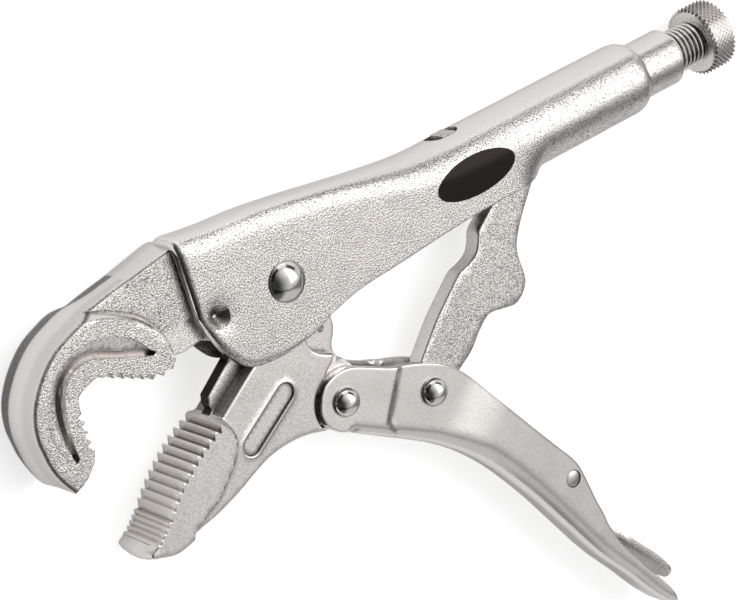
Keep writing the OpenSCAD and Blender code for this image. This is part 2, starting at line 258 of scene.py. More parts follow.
def relief(name, outline, height, lines=(), rings=(0.1, 0.25, 0.5), grid=1.1, crown=None, levels=1, peak=1.6, ridge=0.0, side=None):
    """Both faces and the side wall of a flat forging. height gives half its thickness
    at each point, and marks for the material. Lines are (points, offsets, closed)."""
    points, edges = [outline], [(i, (i + 1) % len(outline)) for i in range(len(outline))]
    count = len(outline)
    for r in rings:
        p = offset(outline, r, True)
        p = p[depth(p, outline) > 0.93 * r]
        points.append(p)
        count += len(p)
    for line, offsets, closed in lines:
        for by in offsets:
            p = offset(line, by, closed)
            keep = depth(p, outline) > 0.06
            if not closed:
                keep[0], keep[-1] = keep[0] and True, keep[-1] and True
            number = np.cumsum(keep) - 1 + count
            edges += [(int(number[i]), int(number[i + 1])) for i in range(len(p) - 1) if keep[i] and keep[i + 1]]
            if closed and keep[0] and keep[-1]:
                edges.append((int(number[-1]), int(number[0])))
            points.append(p[keep])
            count += int(keep.sum())
    near = kdtree.KDTree(count)
    for i, (x, y) in enumerate(np.vstack(points)):
        near.insert((x, y, 0), i)
    near.balance()
    low, high = outline.min(0), outline.max(0)
    rows = np.arange(low[1], high[1], grid * 0.866)
    field = [(x + (k % 2) * grid / 2, y) for k, y in enumerate(rows) for x in np.arange(low[0], high[0], grid)]
    field = np.array([p for p in field if near.find((p[0], p[1], 0))[2] > 0.5 * grid])
    points.append(field[within(field, outline)])
    flat = np.vstack(points)
    spots, _, cells, _, _, _ = delaunay_2d_cdt([Vector(p) for p in flat], edges, [], 0, 1e-5)
    spots = np.array([tuple(p) for p in spots])
    cells = np.array(cells)
    cells = cells[within(spots[cells].mean(1), outline)]
    used = np.unique(cells)
    renumber = np.full(len(spots), -1)
    renumber[used] = np.arange(len(used))
    spots, cells = spots[used], renumber[cells]
    half, marks = height(spots)
    n = len(spots)
    verts = np.vstack((np.column_stack((spots, half)), np.column_stack((spots, -half))))
    faces = [tuple(int(i) for i in c) for c in cells] + [tuple(int(i) + n for i in c[::-1]) for c in cells]
    # The wall goes round the border, in one or more steps down
    border = {}
    for a, b, c in cells:
        for i, j in ((a, b), (b, c), (c, a)):
            if (int(j), int(i)) in border:
                del border[(int(j), int(i))]
            else:
                border[(int(i), int(j))] = True
    following = {a: b for a, b in border}
    leading = {b: a for a, b in border}
    out = np.zeros((n, 2))
    for a in following:
        way = spots[following[a]] - spots[leading[a]]
        size = np.linalg.norm(way)
        out[a] = (way[1] / size, -way[0] / size) if size > 1e-9 else (0, 0)
    bulge = crown(spots) if crown else np.zeros(n)
    index = {}
    extra, extra_marks = [], {k: [] for k in marks}
    for a in following:
        column = [a]
        for k in range(1, levels):
            t = 1 - 2 * k / levels
            push = bulge[a] * (1 - abs(t + ridge * (1 - t * t)) ** peak)
            column.append(2 * n + len(extra))
            extra.append((spots[a][0] + out[a][0] * push, spots[a][1] + out[a][1] * push, half[a] * t))
            own = side(spots[a], t) if side else {}
            for key in marks:
                extra_marks[key].append(own.get(key, marks[key][a]))
        index[a] = column + [a + n]
    for a, b in following.items():
        for k in range(levels):
            faces.append((index[a][k], index[a][k + 1], index[b][k + 1], index[b][k]))
    if extra:
        verts = np.vstack((verts, extra))
    values = {k: np.concatenate((marks[k], marks[k], extra_marks[k])) for k in marks}
    piece = make_piece(name, verts, faces, values)
    tidy_mesh(piece)
    return piece


def lathed(name, profile, place, along, count=64):
    """A turned shape: its profile is (radius, height) from one end of its axis to the other."""
    axis = unit(along)
    side = unit(np.cross(axis, (0, 1, 0) if abs(axis[1]) < 0.9 else (1, 0, 0)))
    other = np.cross(axis, side)
    points, faces, rings = [], [], []
    for r, h in profile:
        base = np.array(place, float) + axis * h
        if r < 1e-6:
            rings.append([len(points)] * count)
            points.append(base)
            continue
        rings.append(list(range(len(points), len(points) + count)))
        for k in range(count):
            a = 2 * math.pi * k / count
            points.append(base + (side * math.cos(a) + other * math.sin(a)) * r)
    for p, q in zip(rings[:-1], rings[1:]):
        for k in range(count):
            ring = [p[k], p[(k + 1) % count], q[(k + 1) % count], q[k]]
            ring = [v for i, v in enumerate(ring) if v not in ring[:i]]
            if len(ring) > 2:
                faces.append(tuple(ring))
    piece = make_piece(name, points, faces)
    tidy_mesh(piece)
    return piece


def dome_profile(radius, rise, base, foot=0.25, count=10):
    """A rivet head that stands on a small straight foot."""
    cap = rise - foot
    ball = (radius * radius + cap * cap) / (2 * cap)
    spread = math.asin(min(1, radius / ball))
    return [(radius - 0.12, base), (radius, base + 0.12), (radius, base + foot)] + [
        (ball * math.sin(spread * (1 - i / count)), base + rise - ball + ball * math.cos(spread * (1 - i / count)))
        for i in range(1, count)] + [(0, base + rise)]


# ---------------------------------------------------------------- finishes

def shader_group(name, inputs, outputs):
    tree = bpy.data.node_groups.new(name, "ShaderNodeTree")
    for label, kind, value in inputs:
        s = tree.interface.new_socket(label, in_out="INPUT", socket_type="NodeSocket" + kind)
        s.default_value = value
    for label, kind in outputs:
        tree.interface.new_socket(label, in_out="OUTPUT", socket_type="NodeSocket" + kind)
    return tree, tree.nodes.new("NodeGroupInput").outputs, tree.nodes.new("NodeGroupOutput").inputs


def node(tree, kind, inputs=None, **settings):
    n = tree.nodes.new(kind)
    for key, value in settings.items():
        setattr(n, key, value)
    for key, value in (inputs or {}).items():
        if isinstance(value, bpy.types.NodeSocket):
            tree.links.new(value, n.inputs[key])
        else:
            n.inputs[key].default_value = value
    return n


def maths(tree, operation, a, b=0.0, clamp=False):
    return node(tree, "ShaderNodeMath", {0: a, 1: b}, operation=operation, use_clamp=clamp).outputs[0]


def spread(tree, value, low, high, to_low=0.0, to_high=1.0):
    return node(tree, "ShaderNodeMapRange",
                {0: value, 1: low, 2: high, 3: to_low, 4: to_high}, interpolation_type="SMOOTHSTEP").outputs[0]


def tint(tree, factor, a, b, blend="MIX"):
    n = node(tree, "ShaderNodeMix", {0: factor, 6: a, 7: b}, data_type="RGBA", blend_type=blend)
    return n.outputs[2]


def blasted_grain():
    """The grain that blasting leaves under the plate: fine pits, and a broad drift."""
    tree, given, result = shader_group(
        "blasted grain",
        [("Size", "Float", 0.35), ("Drift Size", "Float", 6.0)],
        [("Height", "Float"), ("Speck", "Float"), ("Drift", "Float")])
    spot = node(tree, "ShaderNodeTexCoord").outputs["Object"]
    fine_scale = maths(tree, "DIVIDE", 1000.0, given["Size"])
    fine = node(tree, "ShaderNodeTexNoise", {"Vector": spot, "Scale": fine_scale, "Detail": 2.0, "Roughness": 0.6})
    pits = node(tree, "ShaderNodeTexVoronoi", {"Vector": spot, "Scale": fine_scale})
    broad = node(tree, "ShaderNodeTexNoise", {
        "Vector": spot, "Scale": maths(tree, "DIVIDE", 1000.0, given["Drift Size"]), "Detail": 3.0})
    height = maths(tree, "ADD", maths(tree, "MULTIPLY", fine.outputs[0], 0.7),
                   maths(tree, "MULTIPLY", pits.outputs["Distance"], 0.35))
    tree.links.new(height, result["Height"])
    tree.links.new(spread(tree, fine.outputs[0], 0.37, 0.53), result["Speck"])
    tree.links.new(spread(tree, broad.outputs[0], 0.3, 0.7), result["Drift"])
    return tree


BLASTED = blasted_grain()
NICKEL = (0.87, 0.84, 0.815, 1)
NICKEL_LOW = (0.20, 0.18, 0.17, 1)


def new_finish(name, metallic=1.0):
    m = bpy.data.materials.new(name)
    m.use_nodes = True
    tree = m.node_tree
    shader = tree.nodes["Principled BSDF"]
    shader.inputs["Metallic"].default_value = metallic
    shader.inputs["Specular Tint"].default_value = (0.72, 0.72, 0.73, 1)
    return m, tree, shader.inputs


def mark(tree, name):
    return node(tree, "ShaderNodeAttribute", attribute_name=name).outputs["Fac"]


def nickel(name, size=0.35, grain=0.5, rough=0.36, smooth_rough=0.2, marked=False, dark=NICKEL_LOW, back=False, root=None):
    """Satin nickel over a blasted surface. Marked pieces carry polish, painted shade and milled marks,
    a back is smooth where it faces up the tool, and root gives two radii in mm between which shade is painted into the
    colour."""
    m, tree, shader = new_finish(name)
    g = node(tree, "ShaderNodeGroup", {}, node_tree=BLASTED)
    g.inputs["Size"].default_value = size
    colour = tint(tree, g.outputs["Speck"], dark, NICKEL)
    colour = tint(tree, g.outputs["Drift"], colour, (0.93, 0.93, 0.93, 1), "MULTIPLY")
    strength = grain
    roughness = spread(tree, g.outputs["Speck"], 0.0, 1.0, rough + 0.1, rough - 0.04)
    if marked:
        polish, shade, milled = mark(tree, "polish"), mark(tree, "shade"), mark(tree, "milled")
        colour = tint(tree, polish, colour, NICKEL)
        colour = tint(tree, maths(tree, "MULTIPLY", milled, 0.85), colour, (0.76, 0.71, 0.675, 1))
        # The shade mark is painted shade: it darkens the colour to near black in creases, recesses and on walls.
        colour = tint(tree, shade, colour, (0.035, 0.03, 0.026, 1))
        roughness = node(tree, "ShaderNodeMix", {0: polish, 2: roughness, 3: smooth_rough}).outputs[0]
        roughness = node(tree, "ShaderNodeMix", {0: milled, 2: roughness, 3: 0.34}).outputs[0]
        kept = maths(tree, "SUBTRACT", 1.0, maths(tree, "MAXIMUM", polish, milled), clamp=True)
        strength = maths(tree, "MULTIPLY", maths(tree, "ADD", maths(tree, "MULTIPLY", kept, 0.9), 0.1), grain)
    spot = node(tree, "ShaderNodeTexCoord").outputs
    if back:
        facing = node(tree, "ShaderNodeSeparateXYZ", {0: spot["Normal"]}).outputs
        smooth = maths(tree, "MAXIMUM", spread(tree, facing[1], 0.6, 0.86), spread(tree, facing[0], -0.5, -0.85))
        colour = tint(tree, smooth, colour, NICKEL)
        roughness = node(tree, "ShaderNodeMix", {0: smooth, 2: roughness, 3: smooth_rough}).outputs[0]
        strength = maths(tree, "MULTIPLY", maths(tree, "SUBTRACT", 1.0, maths(tree, "MULTIPLY", smooth, 0.85)), grain)
    # Painted shade: the colour darkens between the two root radii, in the roots of a thread or the valleys of a knurl.
    if root:
        off_axis = node(tree, "ShaderNodeVectorMath", {0: spot["Object"], 1: placed((0, 0, 0)).tolist()}, operation="SUBTRACT")
        off_axis = node(tree, "ShaderNodeVectorMath", {0: off_axis.outputs[0], 1: (0, 1, 1)}, operation="MULTIPLY")
        radius = node(tree, "ShaderNodeVectorMath", {0: off_axis.outputs[0]}, operation="LENGTH").outputs["Value"]
        colour = tint(tree, spread(tree, radius, root[0] * MM, root[1] * MM, 0.7, 0.0), colour, (0.10, 0.09, 0.085, 1))
    bump = node(tree, "ShaderNodeBump", {"Height": g.outputs["Height"], "Strength": strength, "Distance": 0.00028})
    tree.links.new(colour, shader["Base Color"])
    tree.links.new(roughness, shader["Roughness"])
    tree.links.new(bump.outputs[0], shader["Normal"])
    return m, tree, shader


def with_label(finish):
    """A bare black oval on the near cheek of the handle, painted shade in the pit where it was punched, and a painted
    shade line round the tube at the foot of its shoulder.
    """
    m, tree, shader = finish
    spot = node(tree, "ShaderNodeTexCoord").outputs["Object"]
    # Painted shade: the colour darkens within 2.9 mm of the punched pit.
    pit = node(tree, "ShaderNodeVectorMath", {0: spot, 1: placed((-94.2, -2.4, 8.2)).tolist()}, operation="DISTANCE").outputs["Value"]
    old = shader["Base Color"].links[0].from_socket
    tree.links.new(tint(tree, spread(tree, pit, 1.4 * MM, 2.9 * MM, 0.8, 0.0), old, (0.11, 0.1, 0.09, 1)), shader["Base Color"])
    # Painted shade: a narrow dark ring round the tube where the shoulder steps down to the sleeve.
    step = maths(tree, "ABSOLUTE", maths(tree, "SUBTRACT", node(tree, "ShaderNodeSeparateXYZ", {0: spot}).outputs[0],
                                         float(placed((48.6, 0, 0))[0])))
    old = shader["Base Color"].links[0].from_socket
    tree.links.new(tint(tree, spread(tree, step, 0.1 * MM, 0.55 * MM, 0.62, 0.0), old, (0.1, 0.09, 0.085, 1)), shader["Base Color"])
    centre = placed((-13.7, -0.7, 0))
    part = node(tree, "ShaderNodeSeparateXYZ", {0: spot}).outputs
    across = maths(tree, "DIVIDE", maths(tree, "SUBTRACT", part[0], float(centre[0])), 12.7 * MM)
    upward = maths(tree, "DIVIDE", maths(tree, "SUBTRACT", part[1], float(centre[1])), 5.0 * MM)
    reach = maths(tree, "ADD", maths(tree, "POWER", maths(tree, "ABSOLUTE", across), 2.0),
                  maths(tree, "POWER", maths(tree, "ABSOLUTE", upward), 2.0))
    on_face = maths(tree, "GREATER_THAN", part[2], float(placed((0, 0, 3))[2]))
    oval = maths(tree, "MULTIPLY", spread(tree, reach, 1.03, 0.98), on_face)
    old = shader["Base Color"].links[0].from_socket
    tree.links.new(tint(tree, oval, old, (0.022, 0.019, 0.018, 1)), shader["Base Color"])
    old = shader["Roughness"].links[0].from_socket
    tree.links.new(node(tree, "ShaderNodeMix", {0: oval, 2: old, 3: 0.28}).outputs[0], shader["Roughness"])
    bump = shader["Normal"].links[0].from_node
    old = bump.inputs["Strength"].links[0].from_socket
    tree.links.new(maths(tree, "MULTIPLY", maths(tree, "SUBTRACT", 1.0, maths(tree, "MULTIPLY", oval, 0.85)), old),
                   bump.inputs["Strength"])
    return m


def polished(name, rough=0.1, base=(0.80, 0.78, 0.76, 1), wear=0.05):
    """A bright rivet head, faintly marked by the tool that set it."""
    m, tree, shader = new_finish(name)
    spot = node(tree, "ShaderNodeTexCoord").outputs["Object"]
    smear = node(tree, "ShaderNodeTexNoise", {"Vector": spot, "Scale": 700.0, "Detail": 3.0})
    tree.links.new(tint(tree, smear.outputs[0], base, tuple(0.86 * c for c in base[:3]) + (1,)), shader["Base Color"])
    tree.links.new(spread(tree, smear.outputs[0], 0.3, 0.75, rough, rough + wear * 2), shader["Roughness"])
    bump = node(tree, "ShaderNodeBump", {"Height": smear.outputs[0], "Strength": wear, "Distance": 0.0004})
    tree.links.new(bump.outputs[0], shader["Normal"])
    return m


HANDLE_PLATE = with_label(nickel("satin plate on the handle", size=0.33, grain=0.36, rough=0.2, smooth_rough=0.16, back=True))
FORGED_PLATE = nickel("satin plate on forged jaws", size=0.33, grain=0.48, rough=0.22, marked=True)[0]
JAW_PLATE = nickel("satin plate on the lower jaw", size=0.32, grain=0.15, rough=0.26, marked=True, dark=(0.62, 0.58, 0.56, 1))[0]
LEVER_PLATE = nickel("satin plate on the lever", size=0.3, grain=0.1, rough=0.28, marked=True, dark=(0.74, 0.705, 0.68, 1))[0]
LINK_PLATE = nickel("satin plate on the link", size=0.3, grain=0.3, rough=0.2, marked=True)[0]
STRIP_PLATE = nickel("satin plate on the strip", size=0.3, grain=0.25, rough=0.32, dark=(0.22, 0.2, 0.19, 1))[0]
# The thread and knurl finishes take painted shade in their roots.
SCREW_PLATE = nickel("plated thread", size=0.3, grain=0.12, rough=0.24, dark=(0.62, 0.59, 0.56, 1), root=(5.1, 5.55))[0]
KNOB_PLATE = nickel("plated knob faces", size=0.25, grain=0.03, rough=0.26, dark=(0.76, 0.73, 0.70, 1))[0]
KNURL_PLATE = nickel("plated knurl points", size=0.25, grain=0.1, rough=0.22, dark=(0.6, 0.57, 0.54, 1), root=(8.65, 9.25))[0]
RIVET_STEEL = polished("bright rivet steel", rough=0.08, base=(0.85, 0.83, 0.81, 1))
PIN_STEEL = polished("flush pin steel", rough=0.24, base=(0.66, 0.64, 0.62, 1))
SPRING_STEEL = polished("spring wire", rough=0.3, base=(0.30, 0.29, 0.29, 1), wear=0.12)
CLIP_STEEL = nickel("dull clip steel", size=0.3, grain=0.2, rough=0.4, dark=(0.2, 0.19, 0.18, 1))[0]


# ---------------------------------------------------------------- handle shell

def handle_sheet():
    """The folded sheet, lofted along the handle: square over the jaw, round to the tube and its sleeve."""
    lower = curve((-99.5, -0.6), (-98.4, -3.8), (-96.4, -9.4), (-93.1, -14.8), (-90.9, -16.9), (-87.8, -18.2),
                  (-81.7, -18.7), (-77.9, -18.4), (-70.7, -17.1), (-65.7, -15.2), (-55.8, -12.9), (-42.7, -11.9),
                  (-22.7, -10.4), (-9.2, -10.0), (20, -9.9))
    back = curve((-99.5, 19.8), (-89, 18.5), (-77, 17.6), (-65, 16.0), (-54, 14.2), (-42, 12.2), (-31, 10.6),
                 (-22, 9.95), (-10, 9.9), (20, 9.9))
    x = np.concatenate((np.linspace(-99.5, -98.2, 8), np.arange(-97.9, -86, 0.45), np.arange(-85.5, -4, 1.25),
                        np.arange(-3.5, 14.1, 0.5), np.arange(15, 44, 2.0), np.arange(44, 50.5, 0.4),
                        np.arange(51, 61, 1.5), (60.7, 61.2)))
    top = np.interp(x, back[:, 0], back[:, 1])
    bottom = np.interp(x, lower[:, 0], lower[:, 1])
    turned = ease((x + 60) / 54)
    closing = np.sqrt(np.clip(1 - np.clip((x + 3) / 12.5, 0, 1) ** 2, 0, 1))
    shoulder = np.sqrt(1 - np.clip((x - 44.6) / 3.9, 0, 1) ** 2)
    scale = (7.7 + 2.2 * shoulder) / 9.9
    wall = 2.5 - 0.92 * ease((x - 42) / 6)
    edge = 2.0 - 1.75 * ease((x + 96) / 30)
    over, side = 46, 20
    outer, inner = [], []
    for i in range(len(x)):
        # From the near cheek over two bends and the flat back, then down a fuller far side
        small, large = 4.0 + 5.9 * turned[i], 6.0 + 3.9 * turned[i]
        wide, tall, far = 11 - 1.1 * turned[i], 15.5 - 5.6 * turned[i], 2.4 * (1 - turned[i])
        split = math.radians(35)
        low_part = np.radians(np.linspace(0, 35, 30))[:, None]
        high_part = np.radians(np.linspace(35, 90, 60))[1:, None]
        line = np.vstack((
            np.hstack((large * np.sin(low_part), large * np.cos(low_part) - large)),
            np.hstack((small * np.sin(high_part), small * np.cos(high_part)))
            + (large - small) * np.array((math.sin(split), math.cos(split))) - (0, large)))
        line += (top[i] - line[-1, 0], 9.9)
        line[:, 1] = np.maximum(line[:, 1], far)
        down = np.linspace(0, math.pi / 2, 70)[:, None]
        line = np.vstack((line, np.hstack((top[i] - tall + tall * np.cos(down), far - wide * np.sin(down)))))
        run = np.concatenate(([0], np.cumsum(np.linalg.norm(np.diff(line, axis=0), axis=1))))
        even = np.linspace(0, run[-1], over)
        line = np.column_stack([np.interp(even, run, line[:, k]) for k in (0, 1)])
        cheeks = []
        for place, out in ((line[0], 1), (line[-1], -1)):
            cheek = []
            for k in range(1, side + 1):
                u = 1 - (1 - k / side) ** 1.6
                flat = np.array((place[0] + (bottom[i] - place[0]) * u, place[1]))
                round_ = np.array((-9.9 * math.sin(u * math.pi / 2), out * 9.9 * math.cos(u * math.pi / 2)))
                cheek.append(flat * closing[i] + round_ * (1 - closing[i]))
            cheeks.append(cheek)
        section = np.array(cheeks[1][::-1] + list(line[::-1]) + cheeks[0]) * scale[i]
        way = np.gradient(section, axis=0)
        way /= np.maximum(np.linalg.norm(way, axis=1), 1e-9)[:, None]
        normal = np.column_stack((way[:, 1], -way[:, 0]))
        for j in (0, -1):
            normal[j] = normal[j] * closing[i] + np.array((-1, 0)) * (1 - closing[i])
            normal[j] /= np.linalg.norm(normal[j])
        place = np.column_stack((np.full(len(section), x[i]), section[:, 0]))
        inward = np.minimum(x[i] + 99.5, np.where(closing[i] > 0.999, gap(place, lower), 9))
        outer.append(section - normal * round_off(np.maximum(inward, 0), edge[i])[:, None])
        inner.append(section - normal * wall[i])
    rows = len(outer[0])
    points, faces = [], []
    for group in (outer, inner):
        for i in range(len(x)):
            points += [(x[i], y, z) for y, z in group[i]]
    n = rows * len(x)

    def o(i, j):
        return i * rows + j

    for i in range(len(x) - 1):
        for j in range(rows - 1):
            faces.append((o(i, j), o(i + 1, j), o(i + 1, j + 1), o(i, j + 1)))
            faces.append((n + o(i, j), n + o(i, j + 1), n + o(i + 1, j + 1), n + o(i + 1, j)))
        if closing[i] > 0:
            for j, turn in ((0, 1), (rows - 1, -1)):
                faces.append((o(i, j), n + o(i, j), n + o(i + 1, j), o(i + 1, j))[::turn])
    for i, turn in ((0, 1), (len(x) - 1, -1)):
        for j in range(rows - 1):
            faces.append((o(i, j), o(i, j + 1), n + o(i, j + 1), n + o(i, j))[::turn])
    # The cheek sinks a little round the punch mark
    points = np.array(points)
    near = np.hypot(points[:, 0] + 94.2, points[:, 1] + 2.2)
    points[:, 2] -= np.where(points[:, 2] > 5, 0.6 * np.exp(-(near / 3.3) ** 2), 0)
    shell = make_piece("folded_handle", points, faces)
    tidy_mesh(shell, merge=0.000001)
    punch = lathed("cutter", [(0, -2.5), (0.15, -2.46), (3.0, 0.1), (4.4, 1.36), (0, 1.36)], (-94.3, -2.1, 9.5), (0, 0, 1), 48)
    slot = loop(arc((-12.6, 0), 3.1, -90, 90), arc((-16.0, 0), 3.1, 90, 270))
    window = block_of(slot, 0, 8)
    flip_to_top(window, 5)
    rivet_hole = round_block(MAIN_PIVOT, 4.0, -15, 15)
    cut_away(shell, window, rivet_hole)
    softened(shell, 0.3, 2, 50)
    cut_away(shell, punch)
    return finished(shell, HANDLE_PLATE, "handle", "plated_sheet", "handle_shell", sharp=40)


def flip_to_top(cutter, base):
    """Turns a cutter drawn in the side view so that it stands on the handle's back."""
    at = AXIS_PLACE * MM
    for v in cutter.data.vertices:
        x, y, z = v.co.x - at[0], v.co.y - at[1], v.co.z - at[2]
        v.co = (x + at[0], z + at[1] + base * MM, -y + at[2])


# ---------------------------------------------------------------- fixed jaw

HOOK, NECK, TANG = 8.2, 5.0, 7.3


def hooked_jaw():
    mouth = [
        straight((-138.4, -22.6), (-135.4, -19.7)),
        tooth_row((-134.4, -17.1), (-134.4, -7.4), 5, 1.05, lean=0.7),
        curve((-134.3, -5.8), (-133.7, -3.9), (-131.9, -2.7), (-129.1, -1.8), (-127.6, -1.5)),
        tooth_row((-126.5, -2.3), (-114.9, -8.5), 6, 1.1, lean=0.7),
        straight((-113.4, -7.6), (-111.9, -9), (-110.9, -7.9), (-109.1, -8.5), (-108.1, -7.2), (-107.6, -6.9)),
    ]
    under_neck = straight((-107.6, -6.9), (-103.1, -7.6), (-99, -7.0), (-86, -7))
    tang = [straight((-86, -7), (-74, -8), (-64, -1.9), (-66, 5)), curve((-66, 5), (-78, 7.2), (-91, 8), (-97.4, 8.6)),
            straight((-97.4, 8.6), (-97.4, 17.1))]
    top = curve((-97.4, 17.1), (-99.4, 17.25), (-110.1, 15.3), (-116.1, 14.3), (-119, 13.8), (-125, 12.5), (-129.1, 11.4))
    rim = curve((-129.1, 11.4), (-132.2, 10.2), (-134.6, 9.2), (-137.2, 7.6), (-140, 5.2), (-142.7, 2.2), (-144.9, -1.2),
                (-146.2, -4.6), (-146.8, -8.4), (-146.6, -11.9), (-146.1, -15.9), (-144.6, -20.2), (-142.2, -24.5))
    outline = loop(*mouth, under_neck, *tang, top, rim, straight((-142.2, -24.5), (-138.4, -22.6)), step=0.45)
    crest_line = curve((-107.8, -5.2), (-108.3, -2.6), (-109.5, 0), (-111.5, 2.7), (-113.4, 5.1), (-115.6, 6.8),
                       (-119.4, 9.1), (-122.5, 10.4), (-126.3, 11.1), (-131, 12.5))
    foot_line = curve((-106.9, -4.6), (-107.2, -0.9), (-108.3, 1.6), (-110, 4.3), (-113.2, 7.4), (-117.1, 9.8),
                      (-120.1, 11.3), (-124, 12.6), (-127, 13.6), (-131, 15))
    far = straight((-150, 15), (-150, -30), (-100, -30))
    raised = loop(crest_line, far, straight((-107.8, -12), (-107.8, -5.2)))
    footed = loop(foot_line, far, straight((-106.9, -12), (-106.9, -4.6)))
    n = 40
    thin = [np.array([np.interp(np.linspace(0, 1, n), np.linspace(0, 1, len(c)), c[:, k]) for k in (0, 1)]).T
            for c in (crest_line[:-8], foot_line[:-8])]
    between = [thin[0] * (1 - t) + thin[1] * t for t in (0.3, 0.65)]
    outer_lip = curve((-112.4, -2.0), (-114.1, -0.6), (-120.3, 1.6), (-124.9, 3.9), (-128.8, 4.9), (-131.6, 4.8),
                      (-134.6, 3.8), (-137.2, 2.0), (-139.3, -1.5), (-140.4, -6.1), (-140.5, -11.2), (-140, -16.6))
    inner_lip = curve((-138.5, -17.2), (-138.6, -15.2), (-138.3, -9.6), (-137.6, -4.9), (-136.2, -1), (-134.1, 1.4),
                      (-131.5, 2.6), (-128.6, 2.9), (-125.6, 2.1), (-120.9, 0.0), (-115.5, -2.3), (-112.7, -3.3))
    channel = loop(outer_lip, curve((-140, -16.6), (-139.5, -17.9), (-138.5, -17.2)), inner_lip,
                   curve((-112.7, -3.3), (-111.9, -2.9), (-112.4, -2.0)))
    dish_lip = arc((-127.3, -8.8), 15.9, 26, 211)
    dish = loop(dish_lip, curve((-140.9, -17), (-139.9, -18), (-138.5, -17.2)), inner_lip,
                curve((-112.7, -3.3), (-111.9, -2.9), (-113, -1.8)))
    seam = straight((-107.3, -0.9), (-98.2, 0.0))
    below_seam = loop(seam, straight((-98.2, 0), (-90, 0), (-90, -20), (-107.3, -20)))
    rim_line = np.vstack((top, rim))
    mouth_line = np.vstack(mouth)

    def height(p):
        d = depth(p, outline)
        a, b = depth(p, raised), depth(p, footed)
        up = np.where(a > 0, 1, np.where(b < 0, 0, b / np.maximum(b - a, 1e-6)))
        half = NECK + (HOOK - NECK) * (1 - (1 - up) ** 1.9)
        half = np.where(p[:, 0] > -97.75, TANG, half)
        low = depth(p, below_seam)
        half += 1.1 * np.clip((p[:, 0] + 113) / 15, 0, 1) * (1 - up) * ease((0.1 - low) / 0.2) * (p[:, 0] < -97.75)
        half -= 0.28 * ease((low + 0.12) / 0.24) * (p[:, 0] < -97.7)
        inside, to_inner, to_outer = depth(p, channel), gap(p, inner_lip), gap(p, outer_lip)
        across = to_outer / np.maximum(to_outer + to_inner, 1e-6)
        dished, to_dish = depth(p, dish), gap(p, dish_lip)
        fall = 0.09 * to_dish + 2.1 * across * ease(inside / 0.35) * (inside > 0)
        half -= np.where(dished > 0, np.minimum(fall, 4.2 * to_inner), 0)
        from_rim, from_mouth = gap(p, rim_line), gap(p, mouth_line)
        r = np.where(from_rim < from_mouth, 0.55, 0.22)
        half -= round_off(np.maximum(d, 0), r)
        # A thin groove runs where the rim meets the face, and shade is painted along it below.
        on_neck = p[:, 0] > -117
        edge_line = np.exp(-((from_rim - np.where(on_neck, 0.42, 0.46)) / np.where(on_neck, 0.22, 0.3)) ** 2)
        edge_line *= p[:, 0] < -98
        half -= 0.16 * edge_line
        polish = np.clip(np.maximum(1 - from_rim / 0.5, ease(1 - np.abs(up - 0.5) * 1.6) * (up > 0.02) * (up < 0.98)), 0, 1)
        polish = np.maximum(polish * (1 - edge_line), 0.8 * ease(across / 0.2) * (inside > 0.02))
        polish = np.maximum(polish, 0.55 * ease(dished / 0.5) * ease((p[:, 1] + 3) / 5))
        polish = np.maximum(polish, 0.5 * ease(low / 0.3) * (p[:, 0] > -107.5) * (p[:, 0] < -97.7))
        # Painted shade: in the channel, deepest at its two end pits, and in thin lines along the crest's foot, the
        # channel's outer lip and the dish's lip.
        ends = np.minimum(np.hypot(p[:, 0] + 112.9, p[:, 1] + 2.7), np.hypot(p[:, 0] + 139.3, p[:, 1] + 16.9))
        hollow = np.maximum(0.5 - 0.42 * ease(across / 0.8), 0.7 * ease(1.5 - ends / 1.0)) * (inside > 0.05)
        foot = 0.55 * np.exp(-(gap(p, foot_line) / 0.18) ** 2) * (p[:, 0] > -127) * (p[:, 0] < -98)
        lip = 0.35 * np.exp(-(to_outer / 0.15) ** 2) * (inside > -0.05)
        ends_of_lip = np.maximum(ease((-4 - p[:, 1]) / 4), ease((p[:, 0] + 120) / 5))
        lip = np.maximum(lip, 0.7 * np.exp(-(to_dish / 0.16) ** 2) * ends_of_lip * (dished > -0.1))
        shade = np.maximum.reduce([hollow, 0.95 * edge_line, foot, lip])
        milled = np.clip(1 - from_mouth / 0.12, 0, 1)
        return half, {"polish": polish, "shade": shade, "milled": milled}

    def crown(p):
        share = ease((-118 - p[:, 0]) / 9) * 1.15 + 0.35
        return np.where(gap(p, rim_line) < 0.01, share * ease((p[:, 1] + 25.5) / 5) * (p[:, 0] < -97.6), 0)

    def side(p, t):
        if p[0] > -112 or gap(p[None], rim_line)[0] > 0.05:
            return {}
        # The far facet of the crown keeps its rough grain and takes painted shade; the part nearest the face takes a
        # little painted shade too.
        rough = float(ease((-0.12 - t) / 0.1))
        return {"polish": 0.9 - 0.9 * rough, "shade": 0.66 * rough + 0.16 * float(ease((t - 0.35) / 0.25)), "milled": 0}

